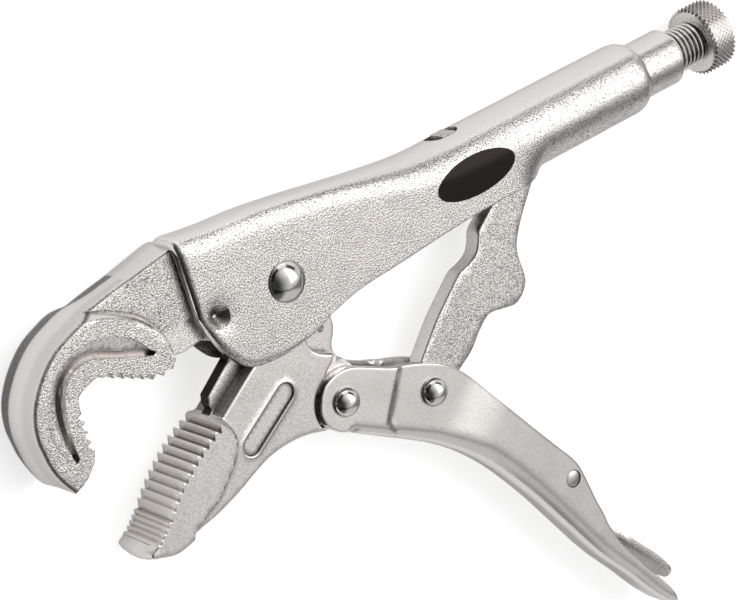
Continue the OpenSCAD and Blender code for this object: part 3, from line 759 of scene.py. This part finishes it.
    jaw = relief("hooked_jaw", outline, height, rings=(0.07, 0.16, 0.32, 0.55, 0.75, 0.95), crown=crown, levels=16, grid=1.0,
                 peak=1.25, ridge=0.12, side=side,
                 lines=[(crest_line[:-6], (0,), False), (foot_line[:-6], (-0.22, 0, 0.22), False)]
                 + [(b, (0,), False) for b in between]
                 + [(channel, (0, 0.18, 0.4), True), (dish_lip, (-0.14, 0, 0.14), False), (seam, (-0.12, 0.12), False),
                    (straight((-97.75, -7), (-97.75, 17)), (-0.05, 0.05), False)])
    at = AXIS_PLACE * MM
    for v in jaw.data.vertices:
        x, y, z = v.co.x - at[0], v.co.y - at[1], v.co.z - at[2]
        if x > -97.8 * MM and z < 0:
            up = min(max((y / MM - 4) / 12.9, 0), 1)
            v.co.z = max(z, -(5.9 - 6.6 * (1 - math.sqrt(1 - up * up))) * MM) + at[2]
    fork = loop(arc(MAIN_PIVOT, 12.2, -60, 168), straight((-93.4, -6.4), (-97, -9.2), (-104, -11.2), (-96, -18), (-56, -16)))
    cut_away(jaw, block_of(fork, -2.15, 2.15), round_block(MAIN_PIVOT, 4.0, -15, 15))
    return finished(jaw, FORGED_PLATE, "handle", "plated_forging", "fixed_jaw", sharp=30)


# ---------------------------------------------------------------- lower jaw

WEB, PLATE, BLOCK, BOSS = 2.0, 6.3, 8.2, 3.7


def toothed_jaw():
    coarse, fine = tooth_row((-102, -26.6), (-121.3, -40.1), 11, 1.45, 1.4, 0.8), tooth_row((-123.2, -42.2), (-127.3, -46), 5, 0.75, 0, 0.8)
    teeth = [coarse, straight((-121.3, -40.1), (-121.9, -42.5), (-123.2, -42.2), step=3), fine]
    crests = np.vstack((coarse[::4], fine[::4]))
    nose = [curve((-128.2, -46.6), (-129.9, -47.6), (-129.6, -48.6), (-127.4, -49.5), (-123.9, -50.6), (-120.1, -50.3),
                  (-115.2, -49.0), (-108.8, -47.7), (-102.1, -45.6), (-96.7, -43.4), (-91.5, -41.6), (-86.8, -41.0),
                  (-82, -41.1), (-76.3, -42.3), (-70.8, -44.7))]
    boss = [curve((-70.8, -44.7), (-67, -45.5), (-62.6, -44), (-60.2, -40), (-60, -36), (-60.2, -32.7), (-61.6, -30.4),
                  (-62.9, -28.5), (-63.5, -26.8), (-63.1, -24.8), (-62.2, -23.3), (-61.3, -21.1), (-61.2, -18.8),
                  (-62.2, -15.4), (-64.2, -11.0))]
    web_top = arc(MAIN_PIVOT, 11.5, -42, 190)
    front = straight((-85.7, -4), (-91.6, -15.8), (-99.8, -21.6), (-100.3, -23.6), (-99.9, -25.2), (-101, -26.0))
    outline = loop(*teeth, *nose, *boss, web_top, front, step=0.45)
    plate_edge = [straight((-100.2, -26.1), (-89.1, -19), (-81.2, -14.2), (-72.3, -14)),
                  curve((-72.2, -15), (-72.1, -18.6), (-71.8, -21.2), (-71, -22.6), (-69.6, -23.9), (-66, -25.9)),
                  straight((-66, -25.9), (-66.8, -27.6), (-69.6, -29.6))]
    ear_room = arc(LEVER_PIVOT, 8.6, 108, 232)
    edge_line = np.vstack(plate_edge + [ear_room])
    plate = loop(*plate_edge, ear_room, straight((-73, -46), (-80, -52), (-135, -56), (-135, -40), (-103, -27)))
    main_room = arc(MAIN_PIVOT, 14.4, -120, -60)
    block_edge = curve((-100.6, -26.3), (-99, -29.3), (-98.3, -32.1), (-98.6, -34.6), (-100.5, -37.6), (-104, -41.1),
                       (-107.5, -44.1), (-111.2, -46), (-116.5, -48.4))
    block = loop(block_edge, straight((-120, -60), (-140, -50), (-125, -30), (-104, -20)))
    pill = loop(arc((-95.1, -36.5), 2.5, 121.3, 301.3, 0.3), arc((-82.1, -28.6), 2.5, -58.7, 121.3, 0.3), step=0.3)
    boss_side = loop(straight((-73.5, -29.0), (-58, -29.0), (-55, -50), (-73.5, -50)))
    teeth_line = np.vstack(teeth)
    flank_line = np.vstack((nose[0],))

    def height(p):
        d = np.maximum(depth(p, outline), 0)
        on_plate = ease((depth(p, plate) + 0.05) / 0.1)
        on_plate *= ease((np.hypot(p[:, 0] - MAIN_PIVOT[0], p[:, 1] - MAIN_PIVOT[1]) - 14.35) / 0.1)
        bare = WEB + (BOSS - WEB) * (depth(p, boss_side) > 0)
        from_edge = gap(p, edge_line)
        half = bare + (PLATE - bare - round_off(from_edge - 0.05, 0.6) * (from_edge > 0.05)) * on_plate
        on_block = depth(p, block)
        rise = ease((on_block + 0.3) / 1.5)
        half += (BLOCK - PLATE) * rise * on_plate
        sunk = depth(p, pill)
        lip = np.exp(-((sunk + 0.35) / 0.32) ** 2)
        half += (0.14 * lip - 0.5 * ease(sunk / 0.28)) * on_plate
        from_teeth = gap(p, teeth_line)
        half -= round_off(d, np.where(from_teeth < 0.9, 0.2, 0.6)) * np.where(half > 5, 1, 0.5)
        turn = np.exp(-((on_block - 0.15) / 0.17) ** 2) * on_plate * (from_teeth > 0.8)
        root = np.clip(gap(p, crests) / 1.3, 0, 1)
        milled = np.clip(1 - from_teeth / 0.12, 0, 1)
        wall = (gap(p, front) < 0.05) * (p[:, 0] < -88)
        polish = np.clip(np.maximum.reduce([0.8 * (1 - d / 0.45), milled * ease(1.25 - root / 0.2), 0.5 * lip * on_plate,
                                            0.6 * (from_edge < 0.9) * (from_edge > 0.25) * on_plate]), 0, 1)
        # Painted shade: in the pill's border, on the wall along the plate's edge, on the web's front wall, along the
        # block's boundary and in the tooth roots.
        shade = np.clip(np.maximum.reduce([0.7 * (np.abs(sunk - 0.14) < 0.16) * on_plate,
                                           0.62 * ease(1.5 - from_edge / 0.2) + 0 * on_plate,
                                           1.0 * wall, 0.42 * turn, 0.4 * milled * ease((root - 0.72) / 0.2)]), 0, 1)
        return half, {"polish": polish * (1 - wall), "shade": shade, "milled": milled * (1 - polish)}

    def crown(p):
        return np.where(gap(p, nose[0][:-3]) < 0.05, 1.1, 0)

    jaw = relief("toothed_jaw", outline, height, rings=(0.07, 0.18, 0.36, 0.6), levels=6, grid=1.0, crown=crown, peak=2.2,
                 lines=[(line, (0.06, -0.06, -0.2, -0.4, -0.7, -1.1), False) for line in plate_edge]
                 + [(ear_room, (0.06, -0.06, -0.2, -0.4, -0.7, -1.1), False), (main_room, (-0.06, 0.06), False),
                    (block_edge, (-0.3, 0.15, 0.6, 1.2), False), (pill, (-0.75, -0.35, 0, 0.14, 0.28), True),
                    (straight((-73.6, -29), (-58, -29)), (-0.05, 0.05), False)])
    cut_away(jaw, round_block(MAIN_PIVOT, 4.05, -15, 15), round_block(LEVER_PIVOT, 3.05, -15, 15),
             round_block((-65.5, -16.8), 1.5, -15, 15, 32), round_block((-65.1, -20.1), 1.0, -15, 15, 24))
    return finished(jaw, JAW_PLATE, "lower_jaw", "plated_forging", "lower_jaw", sharp=30)


# ---------------------------------------------------------------- lever

EAR, PINCH, SHEET = 6.7, 5.6, 2.8


def channel_lever():
    top = curve((-73.2, -34.4), (-71.2, -32.2), (-67.5, -30.9), (-63.1, -31.1), (-57.7, -33.6), (-51.7, -36.7),
                (-43.2, -39.8), (-37.6, -42.6), (-33.6, -45.6), (-30, -49.7), (-24.5, -58.5), (-16.6, -70.7),
                (-9.5, -81.4), (-7.1, -84.9), (-5.4, -88.4), (-4.6, -91.5), (-3.7, -96.3), (-2.9, -100.4),
                (-1.8, -104.9), (-1.0, -109.4), (0.8, -114.8), (3, -119.5), (5.4, -123.6), (7.8, -127.8),
                (10.4, -131.5), (12.3, -134.6), (13.8, -137.6), (14.9, -140.4))
    end = curve((14.9, -140.4), (15.1, -141.9), (14.2, -142.8), (12.8, -141.9))
    back = curve((12.8, -141.9), (9.0, -137.2), (6.0, -133.0), (2.6, -127.9), (-5.1, -117.1), (-12.1, -105.1),
                 (-18.9, -93.2), (-25.9, -82.3), (-30.6, -76), (-35.6, -70.4), (-40.7, -65.7), (-46, -61.5),
                 (-56.7, -54.3), (-64.7, -49.1), (-67.2, -47.4))
    ear = curve((-67.2, -46.4), (-70.6, -45.3), (-73.6, -42.4), (-74.6, -38.4), (-73.2, -34.4))
    outline = loop(top, end, back, straight((-67.2, -47.4), (-67.2, -46.4)), ear, step=0.5)
    press = straight((-57.6, -49.2), (-49.2, -36.6))
    pressed = loop(press, straight((-49.2, -36.6), (20, -20), (30, -160), (-40, -110), (-57.6, -49.2)))
    full = curve((-67.2, -47.4), (-64.7, -49.1), (-56.7, -54.3), (-46, -61.5), (-40.7, -65.7), (-35.6, -70.4))
    tip = np.array((15.0, -143.0))
    way = unit((0.62, -0.78))

    def side_half(p):
        in_press = ease((depth(p, pressed) + 0.4) / 2.2)
        run = (p[:, 0] - LINK_PIVOT[0]) * way[0] + (p[:, 1] - LINK_PIVOT[1]) * way[1]
        widened = ease((run - 7) / 17)
        return EAR - (EAR - PINCH) * in_press * (1 - widened)

    def bend(p):
        return np.interp(p[:, 0], (-68, -57, -46, -36, -30, -24, -17, -8, 4, 14),
                         (2.6, 3.1, 3.9, 5.2, 5.5, 5.4, 5.0, 4.4, 3.6, 2.4))

    def end_round(p, half):
        run = (p - tip) @ unit((-0.6, 0.8))
        return half - 2.6 * (1 - np.sqrt(np.clip(1 - (1 - np.clip(run, 0, 5) / 5) ** 2, 0, 1)))

    def outside(p):
        d_back, d_top = gap(p, back), np.minimum.reduce([gap(p, top), gap(p, ear), gap(p, end)])
        half = side_half(p)
        half = half - round_off(d_back, np.minimum(bend(p), half - 0.6))
        half -= round_off(d_top, 0.38)
        half = end_round(p, half)
        # Painted shade along the press line, and in the notch, which is also pressed in a little.
        line = np.exp(-((depth(p, pressed) - 0.1) / 0.45) ** 2) * (p[:, 0] < -47) * (p[:, 0] > -60) * (d_back > 2.5)
        notch = np.exp(-(np.hypot(p[:, 0] + 66.4, p[:, 1] + 46.9) / 0.8) ** 2)
        half -= 0.25 * notch
        polish = np.clip(np.maximum(0.95 * (1 - d_top / 0.5), 0.8 * ease(1 - d_back / (bend(p) + 0.8))), 0, 1)
        # Painted shade in a thin line a little in from the top edge.
        painted_top_edge_shade = 0.6 * np.exp(-((d_top - 0.3) / 0.25) ** 2) * ease((p[:, 0] + 40) / 6) * ease((3 - p[:, 0]) / 8)
        return half, {"polish": polish * (1 - painted_top_edge_shade), "shade": np.clip(0.3 * line + 0.7 * notch + painted_top_edge_shade, 0, 1), "milled": 0 * d_top}

    shell = relief("channel_lever", outline, outside, rings=(0.03, 0.1, 0.22, 0.45, 0.8, 1.3, 2.0, 2.9, 3.9, 5.0), grid=1.1,
                   levels=4, lines=[(press, (-0.4, 0.2, 0.8, 1.5), False)])
    # The room inside is open along the top edge and between the ears
    inner_back = offset(back, -SHEET, False)
    wide_top = offset(top[6:-10], 3, False)
    room = loop(wide_top, straight((19, -136.6), (20, -143), (17, -146), (13.6, -142.6), (14.6, -140.6)),
                inner_back[(inner_back[:, 1] > -138.5)],
                straight((-65.6, -44.8), (-66.4, -60), (-90, -60), (-90, -24)), step=0.6)
    inner_line = inner_back[(inner_back[:, 1] > -138.5) & (inner_back[:, 0] > -66)]
    rim = np.vstack((ear, top, end))

    def inside(p):
        half = side_half(p) - SHEET
        d = gap(p, inner_line)
        half = half - round_off(d, np.minimum(np.maximum(bend(p) - SHEET, 0.4), half - 0.4))
        d_rim = gap(p, rim)
        half = half + 0.35 * ease(1 - d_rim / 0.5)
        return np.maximum(half, 0.4), {}

    hollow = relief("cutter", room, inside, rings=(0.05, 0.2, 0.5, 1.0, 1.8), grid=1.4,
                    lines=[(press, (-0.4, 0.2, 0.8, 1.5), False), (rim, (-0.5, 0, 0.5), False)])
    cut_away(shell, hollow)
    cut_away(shell, round_block(LEVER_PIVOT, 3.0, -15, 15), round_block(LINK_PIVOT, 3.0, -15, 15),
             round_block(RELEASE_PIVOT, 2.42, -15, 15))
    return finished(shell, LEVER_PLATE, "lever", "plated_sheet", "lever", sharp=34)


# ---------------------------------------------------------------- link

def toggle_link():
    left = curve((-7.3, -13.4), (-10.4, -15.6), (-13.0, -17.6), (-14.2, -20.4), (-15.9, -22.9), (-18.9, -24.3),
                 (-22.1, -25.2), (-26.3, -28.3), (-32.5, -33.2), (-36.4, -37), (-40.6, -41.2))
    right = curve((-29.6, -48.3), (-24.9, -45.6), (-20.8, -41.8), (-16.8, -39.2), (-11.6, -39.9), (-8.3, -40.4),
                  (-5.4, -39.2), (-3.2, -36.6), (-2.7, -34.3), (-2.9, -27.3), (-0.9, -22.8), (2.4, -18.3),
                  (5.9, -14.2), (9.6, -9.6))
    outline = loop(left, arc(LINK_PIVOT, 6, 140, 290), right, straight((9.6, -9.6), (16.6, -3.0)),
                   arc(THRUST_POINT, 3.5, -30, 130), straight((11.3, 1.4), (-7.3, -13.4)), step=0.5)

    def height(p):
        d = np.maximum(depth(p, outline), 0)
        half = 2.6 - round_off(d, 0.4)
        return half, {"polish": np.clip(0.7 * (1 - d / 0.35), 0, 1), "shade": 0 * d, "milled": 0 * d}

    link = relief("toggle_link", outline, height, rings=(0.06, 0.18, 0.4), grid=1.6, levels=3)
    cut_away(link, round_block(LINK_PIVOT, 3.05, -15, 15))
    return finished(link, LINK_PLATE, "link", "plated_forging", "link", sharp=30)


# ---------------------------------------------------------------- release lever

def release_strip():
    line = curve((-25.6, -64.6), (-22.8, -67.6), (-17.6, -75.4), (-11.6, -84.4), (-7.2, -92.6), (-4.4, -101.4),
                 (-1.9, -107), (1.5, -112.9), (3.9, -116.1), (6.8, -119.9), (12, -126.8), (14.6, -131.4),
                 (16.1, -135.6), step=0.7)
    run = np.concatenate(([0], np.cumsum(np.linalg.norm(np.diff(line, axis=0), axis=1))))
    left = run[-1] - run
    half = 3.5 + 2.5 * ease((line[:, 0] + 0.2) / 4.6)
    half = half * np.sqrt(np.clip(1 - np.clip(1 - left / 5.5, 0, 1) ** 2, 0.03, 1))
    half = half * np.where(run < 0.5, 0.93, 1)
    thick = np.where((run < 0.4) | (left < 0.3), 0.62, 0.9)
    lift = offset(line, 1, False) - line
    points, faces, ring = [], [], 12
    corner = 0.4
    for i in range(len(line)):
        section = []
        for sz, sn in ((1, 1), (-1, 1), (-1, -1), (1, -1)):
            for a in (0, 45, 90):
                turn = math.radians(a if sz * sn > 0 else 90 - a)
                z = sz * (half[i] - corner + corner * math.cos(turn))
                n = sn * (thick[i] - corner + corner * math.sin(turn))
                section.append((z, n))
        for z, n in section:
            points.append((*(line[i] + lift[i] * n), z))
    for i in range(len(line) - 1):
        for k in range(ring):
            faces.append((i * ring + k, i * ring + (k + 1) % ring, (i + 1) * ring + (k + 1) % ring, (i + 1) * ring + k))
    faces += [tuple(range(ring)), tuple((len(line) - 1) * ring + k for k in range(ring - 1, -1, -1))]
    strip = make_piece("release_strip", points, faces)
    tidy_mesh(strip, merge=0.000001)
    hub = lathed("release_hub", [(2.25, -3.5), (3.3, -3.5), (3.6, -3.2), (3.6, 3.2), (3.3, 3.5), (2.25, 3.5), (2.25, -3.5)],
                 (*RELEASE_PIVOT, 0), (0, 0, 1), 40)
    cut_away(strip, round_block(RELEASE_PIVOT, 2.25, -15, 15))
    finished(hub, STRIP_PLATE, "release_lever", "plated_strip", "release_lever")
    return finished(strip, STRIP_PLATE, "release_lever", "plated_strip", "release_lever", sharp=40)


# ---------------------------------------------------------------- rivets and pins

def rivets():
    head = dome_profile(5.15, 3.0, 9.9)
    main = lathed("main_rivet_head", [(0, -9.8), (3.4, -9.8), (3.95, -9.5), (3.95, 9.9)] + head, (*MAIN_PIVOT, 0), (0, 0, 1))
    finished(main, RIVET_STEEL, "handle", "polished_rivet", "main_rivet", sharp=40)
    for name, place, base, rise in (("lever_rivet", LEVER_PIVOT, EAR, 3.15), ("link_rivet", LINK_PIVOT, PINCH, 3.15)):
        up = dome_profile(3.85, rise, base)
        down = [(r, -h) for r, h in up[::-1]]
        piece = lathed(name + "_heads", down + [(2.95, -base), (2.95, base)] + up, (*place, 0), (0, 0, 1), 56)
        finished(piece, RIVET_STEEL, "lever", "polished_rivet", name, sharp=40)
    flush = [(0, -6.75), (1.6, -6.7), (2.15, -6.5), (2.2, -6.2), (2.2, 6.2), (2.15, 6.5), (1.6, 6.7), (0, 6.75)]
    pin = lathed("release_pin_set", flush, (*RELEASE_PIVOT, 0), (0, 0, 1), 40)
    finished(pin, PIN_STEEL, "lever", "polished_rivet", "release_pin", sharp=40)


# ---------------------------------------------------------------- what is wound, cut round and round, or repeated

def growth(name, sizes):
    """A geometry tree with named sizes and one mesh out."""
    tree = bpy.data.node_groups.new(name, "GeometryNodeTree")
    tree.is_modifier = True
    tree.interface.new_socket("Geometry", in_out="INPUT", socket_type="NodeSocketGeometry")
    for label, kind, value in sizes:
        s = tree.interface.new_socket(label, in_out="INPUT", socket_type="NodeSocket" + kind)
        s.default_value = value
    tree.interface.new_socket("Geometry", in_out="OUTPUT", socket_type="NodeSocketGeometry")
    return tree, tree.nodes.new("NodeGroupInput").outputs, tree.nodes.new("NodeGroupOutput").inputs


def finish_tree(tree, mesh, result, material):
    real = node(tree, "GeometryNodeRealizeInstances", {0: mesh})
    done = node(tree, "GeometryNodeSetMaterial", {"Geometry": real.outputs[0], "Material": material})
    tree.links.new(done.outputs[0], result["Geometry"])


def grown(piece, tree, **sizes):
    m = piece.modifiers.new("grow", "NODES")
    m.node_group = tree
    for item in tree.interface.items_tree:
        if item.item_type == "SOCKET" and item.in_out == "INPUT" and item.name in sizes:
            m[item.identifier] = sizes[item.name]
    return baked(piece)


def thread_tree(material):
    """A ridge wound round a core, along X."""
    tree, given, result = growth("wound thread", [
        ("Turns", "Float", 26.0), ("Pitch", "Float", 0.00175), ("Radius", "Float", 0.006), ("Depth", "Float", 0.0009)])
    middle = maths_g(tree, "SUBTRACT", given["Radius"], given["Depth"])
    path = node(tree, "GeometryNodeCurveSpiral", {
        "Resolution": 40, "Rotations": given["Turns"], "Start Radius": middle, "End Radius": middle,
        "Height": maths_g(tree, "MULTIPLY", given["Turns"], given["Pitch"])})
    upright = node(tree, "GeometryNodeSetCurveNormal", {0: path.outputs[0]}, mode="Z_UP")
    ridge = node(tree, "GeometryNodeCurvePrimitiveCircle", {"Resolution": 10, "Radius": given["Depth"]})
    wound = node(tree, "GeometryNodeCurveToMesh", {"Curve": upright.outputs[0], "Profile Curve": ridge.outputs[0]})
    wound.inputs["Fill Caps"].default_value = True
    turned = node(tree, "GeometryNodeTransform", {"Geometry": wound.outputs[0], "Rotation": (0, math.pi / 2, 0)})
    joined = node(tree, "GeometryNodeJoinGeometry", {})
    tree.links.new(given["Geometry"], joined.inputs[0])
    tree.links.new(turned.outputs[0], joined.inputs[0])
    finish_tree(tree, joined.outputs[0], result, material)
    return tree


def maths_g(tree, operation, a, b=0.0):
    return node(tree, "ShaderNodeMath", {0: a, 1: b}, operation=operation).outputs[0]


def knurl_tree(material):
    """Four-sided points in staggered rows round a collar, along X."""
    tree, given, result = growth("diamond knurl", [
        ("Round", "Int", 48), ("Rows", "Int", 13), ("Radius", "Float", 0.0088), ("Length", "Float", 0.0066),
        ("Point Height", "Float", 0.0006), ("Point Size", "Float", 0.0006)])
    count = maths_g(tree, "MULTIPLY", given["Round"], given["Rows"])
    line = node(tree, "GeometryNodeMeshLine", {"Count": count})
    number = node(tree, "GeometryNodeInputIndex").outputs[0]
    row = maths_g(tree, "FLOOR", maths_g(tree, "DIVIDE", number, given["Round"]))
    column = maths_g(tree, "MODULO", number, given["Round"])
    shifted = maths_g(tree, "ADD", column, maths_g(tree, "MULTIPLY", maths_g(tree, "MODULO", row, 2.0), 0.5))
    angle = maths_g(tree, "MULTIPLY", shifted, maths_g(tree, "DIVIDE", 2 * math.pi, given["Round"]))
    step = maths_g(tree, "DIVIDE", given["Length"], maths_g(tree, "SUBTRACT", given["Rows"], 1.0))
    place = node(tree, "ShaderNodeCombineXYZ", {
        0: maths_g(tree, "MULTIPLY", row, step),
        1: maths_g(tree, "MULTIPLY", maths_g(tree, "SINE", angle), maths_g(tree, "MULTIPLY", given["Radius"], -1.0)),
        2: maths_g(tree, "MULTIPLY", maths_g(tree, "COSINE", angle), given["Radius"])})
    set_out = node(tree, "GeometryNodeSetPosition", {"Geometry": line.outputs[0], "Position": place.outputs[0]})
    point = node(tree, "GeometryNodeMeshCone", {
        "Vertices": 4, "Radius Top": maths_g(tree, "MULTIPLY", given["Point Size"], 0.16), "Radius Bottom": given["Point Size"],
        "Depth": given["Point Height"]})
    turn = node(tree, "ShaderNodeCombineXYZ", {0: angle})
    many = node(tree, "GeometryNodeInstanceOnPoints", {
        "Points": set_out.outputs[0], "Instance": point.outputs[0], "Rotation": turn.outputs[0]})
    joined = node(tree, "GeometryNodeJoinGeometry", {})
    tree.links.new(given["Geometry"], joined.inputs[0])
    tree.links.new(many.outputs[0], joined.inputs[0])
    finish_tree(tree, joined.outputs[0], result, material)
    return tree


def wire_tree(material):
    tree, given, result = growth("drawn wire", [("Wire Radius", "Float", 0.0005)])
    path = node(tree, "GeometryNodeMeshToCurve", {0: given["Geometry"]})
    ring = node(tree, "GeometryNodeCurvePrimitiveCircle", {"Resolution": 8, "Radius": given["Wire Radius"]})
    tube = node(tree, "GeometryNodeCurveToMesh", {"Curve": path.outputs[0], "Profile Curve": ring.outputs[0]})
    tube.inputs["Fill Caps"].default_value = True
    finish_tree(tree, tube.outputs[0], result, material)
    return tree


def shifted_mesh(piece, x):
    """Moves a shape grown about the origin to its place on the tube's axis."""
    for v in piece.data.vertices:
        v.co += Vector(placed((x, 0, 0)))


def screw():
    tree = thread_tree(SCREW_PLATE)
    core = lathed("adjusting_thread", [(0, 0), (4.9, 0), (5.1, 0.3), (5.1, 53)], (0, 0, 0), (1, 0, 0), 48)
    for v in core.data.vertices:
        v.co -= Vector(AXIS_PLACE * MM)
    grown(core, tree, Turns=35.5, Pitch=0.0015, Radius=0.00598, Depth=0.0005)
    shifted_mesh(core, 18.6)
    finished(core, SCREW_PLATE, "screw", "plated_screw", "adjusting_screw", sharp=28)
    knob = knurl_tree(KNURL_PLATE)
    profile = [(0, 0), (7.2, 0), (8.3, 0.15), (8.75, 0.75), (8.82, 0.9), (8.82, 7.3), (8.7, 7.5), (7.9, 8.15), (6.0, 8.2),
               (5.2, 7.9), (0, 7.9)]
    collar = lathed("knurled_knob", profile, (0, 0, 0), (1, 0, 0), 96)
    for v in collar.data.vertices:
        v.co -= Vector(AXIS_PLACE * MM) + Vector((0.0009, 0, 0))
    grown(collar, knob, Round=40, Rows=10, Radius=0.0086, Length=0.0064, **{"Point Height": 0.0009, "Point Size": 0.00076})
    shifted_mesh(collar, 71.6 + 0.9)
    finished(collar, KNOB_PLATE, "screw", "plated_knob", "screw_knob", sharp=25)


def opening_spring():
    start, end = np.array((-65.5, -16.8)), np.array((-16.2, 4.6))
    along = unit(end - start)
    length = np.linalg.norm(end - start)
    across = np.array((-along[1], along[0]))
    radius, first = 3.1, 5.8
    turns = round((length - 2 * first) / 1.04)

    def spot(u, v, z):
        return (*(start + along * u + across * v), z)

    line = [spot(radius - radius * math.cos(a), 0, radius * math.sin(a)) for a in np.linspace(-2.6, 2.9, 26)]
    for a in np.linspace(0, 2 * math.pi * turns, turns * 18):
        line.append(spot(first + (length - 2 * first) * a / (2 * math.pi * turns), radius * math.sin(a), radius * math.cos(a)))
    line += [spot(length - radius + radius * math.cos(a), 0, radius * math.sin(a)) for a in np.linspace(2.9, -2.6, 26)]
    mesh = bpy.data.meshes.new("wound_spring")
    mesh.from_pydata(placed(line).tolist(), [(i, i + 1) for i in range(len(line) - 1)], [])
    spring = bpy.data.objects.new("wound_spring", mesh)
    bpy.context.scene.collection.objects.link(spring)
    grown(spring, wire_tree(SPRING_STEEL), **{"Wire Radius": 0.0005})
    tidy_mesh(spring, merge=0.000001)
    finished(spring, SPRING_STEEL, "handle", "spring_steel", "opening_spring", sharp=60)


# ---------------------------------------------------------------- camera, floor and light

def stage_it():
    data = bpy.data.cameras.new("camera")
    data.sensor_width, data.lens = 36, 2436 / 738 * 36
    data.clip_start = 0.01
    camera = bpy.data.objects.new("camera", data)
    bpy.context.scene.collection.objects.link(camera)
    ahead, right, up = Vector((0.4824, -0.3468, -0.8044)), Vector((0.7676, -0.2751, 0.5789)), Vector((0.4221, 0.8967, -0.1335))
    m = Matrix((right, up, -ahead)).transposed().to_4x4()
    m.translation = Vector((-0.30583, 0.25062, 0.4953))
    camera.matrix_world = m
    bpy.context.scene.camera = camera
    bpy.context.scene.view_settings.view_transform = "Standard"

    mesh = bpy.data.meshes.new("floor")
    mesh.from_pydata([(-2, -2, 0), (2, -2, 0), (2, 2, 0), (-2, 2, 0)], [], [(0, 1, 2, 3)])
    floor = bpy.data.objects.new("floor", mesh)
    bpy.context.scene.collection.objects.link(floor)
    m, tree, shader = new_finish("pale floor", 0.0)
    shader["Base Color"].default_value = (0.86, 0.86, 0.86, 1)
    shader["Roughness"].default_value = 0.9
    seen = node(tree, "ShaderNodeLightPath")
    direct = maths(tree, "MAXIMUM", seen.outputs["Is Camera Ray"], seen.outputs["Is Transmission Ray"])
    lift = maths(tree, "MAXIMUM", maths(tree, "MULTIPLY", direct, 0.66), maths(tree, "MULTIPLY", seen.outputs["Is Glossy Ray"], 0.26))
    tree.links.new(lift, shader["Emission Strength"])
    shader["Emission Color"].default_value = (1, 1, 1, 1)
    mesh.materials.append(m)

    world = bpy.data.worlds.new("studio")
    bpy.context.scene.world = world
    world.use_nodes = True
    tree = world.node_tree
    background = tree.nodes["Background"]
    background.inputs["Color"].default_value = (1, 1, 1, 1)
    way = node(tree, "ShaderNodeTexCoord").outputs["Generated"]
    x, y, z = node(tree, "ShaderNodeSeparateXYZ", {0: way}).outputs
    # A pale tent: bright behind the handle, dimmer in front and dark beyond the jaws
    over = maths(tree, "DIVIDE", y, maths(tree, "MAXIMUM", z, 0.05))
    walls = spread(tree, over, -0.82, -0.66, 0.32, 1.0)
    walls = maths(tree, "MULTIPLY", walls, spread(tree, y, 0.1, 0.5, 0.66, 0.90))
    walls = maths(tree, "MULTIPLY", walls, spread(tree, x, -0.7, 0.2, 0.06, 1.0))
    low = maths(tree, "MULTIPLY", spread(tree, y, -0.58, -0.78, 0.0, 0.6), spread(tree, x, -0.45, -0.15, 0.2, 1.0))
    walls = maths(tree, "MAXIMUM", walls, low)
    box = maths(tree, "MULTIPLY", spread(tree, over, -0.36, -0.16), spread(tree, x, 0.12, 0.42))
    box = maths(tree, "MULTIPLY", box, spread(tree, z, 0.55, 0.59))
    glow = node(tree, "ShaderNodeMix", {0: box, 2: walls, 3: 2.3}).outputs[0]
    seam = maths(tree, "MULTIPLY", spread(tree, z, 0.25, 0.31), spread(tree, z, 0.56, 0.52))
    seam = maths(tree, "MULTIPLY", seam, spread(tree, y, 0.15, 0.35))
    glow = maths(tree, "MULTIPLY", glow, spread(tree, seam, 0.0, 1.0, 1.0, 0.1))
    tree.links.new(node(tree, "ShaderNodeMix", {
        0: node(tree, "ShaderNodeLightPath").outputs["Is Camera Ray"], 2: glow, 3: 1.0}).outputs[0],
        background.inputs["Strength"])
    for name, place, aim, size, power in (
            ("side softbox", (0.3, 1.3, 0.5), (0, 0, 0.01), (0.9, 0.5), 1.2),):
        lamp = bpy.data.lights.new(name, "AREA")
        lamp.shape, lamp.size, lamp.size_y, lamp.energy = "RECTANGLE", size[0], size[1], power
        holder = bpy.data.objects.new(name, lamp)
        bpy.context.scene.collection.objects.link(holder)
        holder.matrix_world = Matrix.Translation(place) @ (
            Vector(aim) - Vector(place)).to_track_quat("-Z", "Y").to_matrix().to_4x4()


stage_it()
handle_sheet()
hooked_jaw()
toothed_jaw()
channel_lever()
toggle_link()
release_strip()
rivets()
screw()
opening_spring()
for name, finish in (("spring_anchor", CLIP_STEEL), ("stop_ring", SCREW_PLATE)):
    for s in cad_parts[name].material_slots:
        s.material = finish
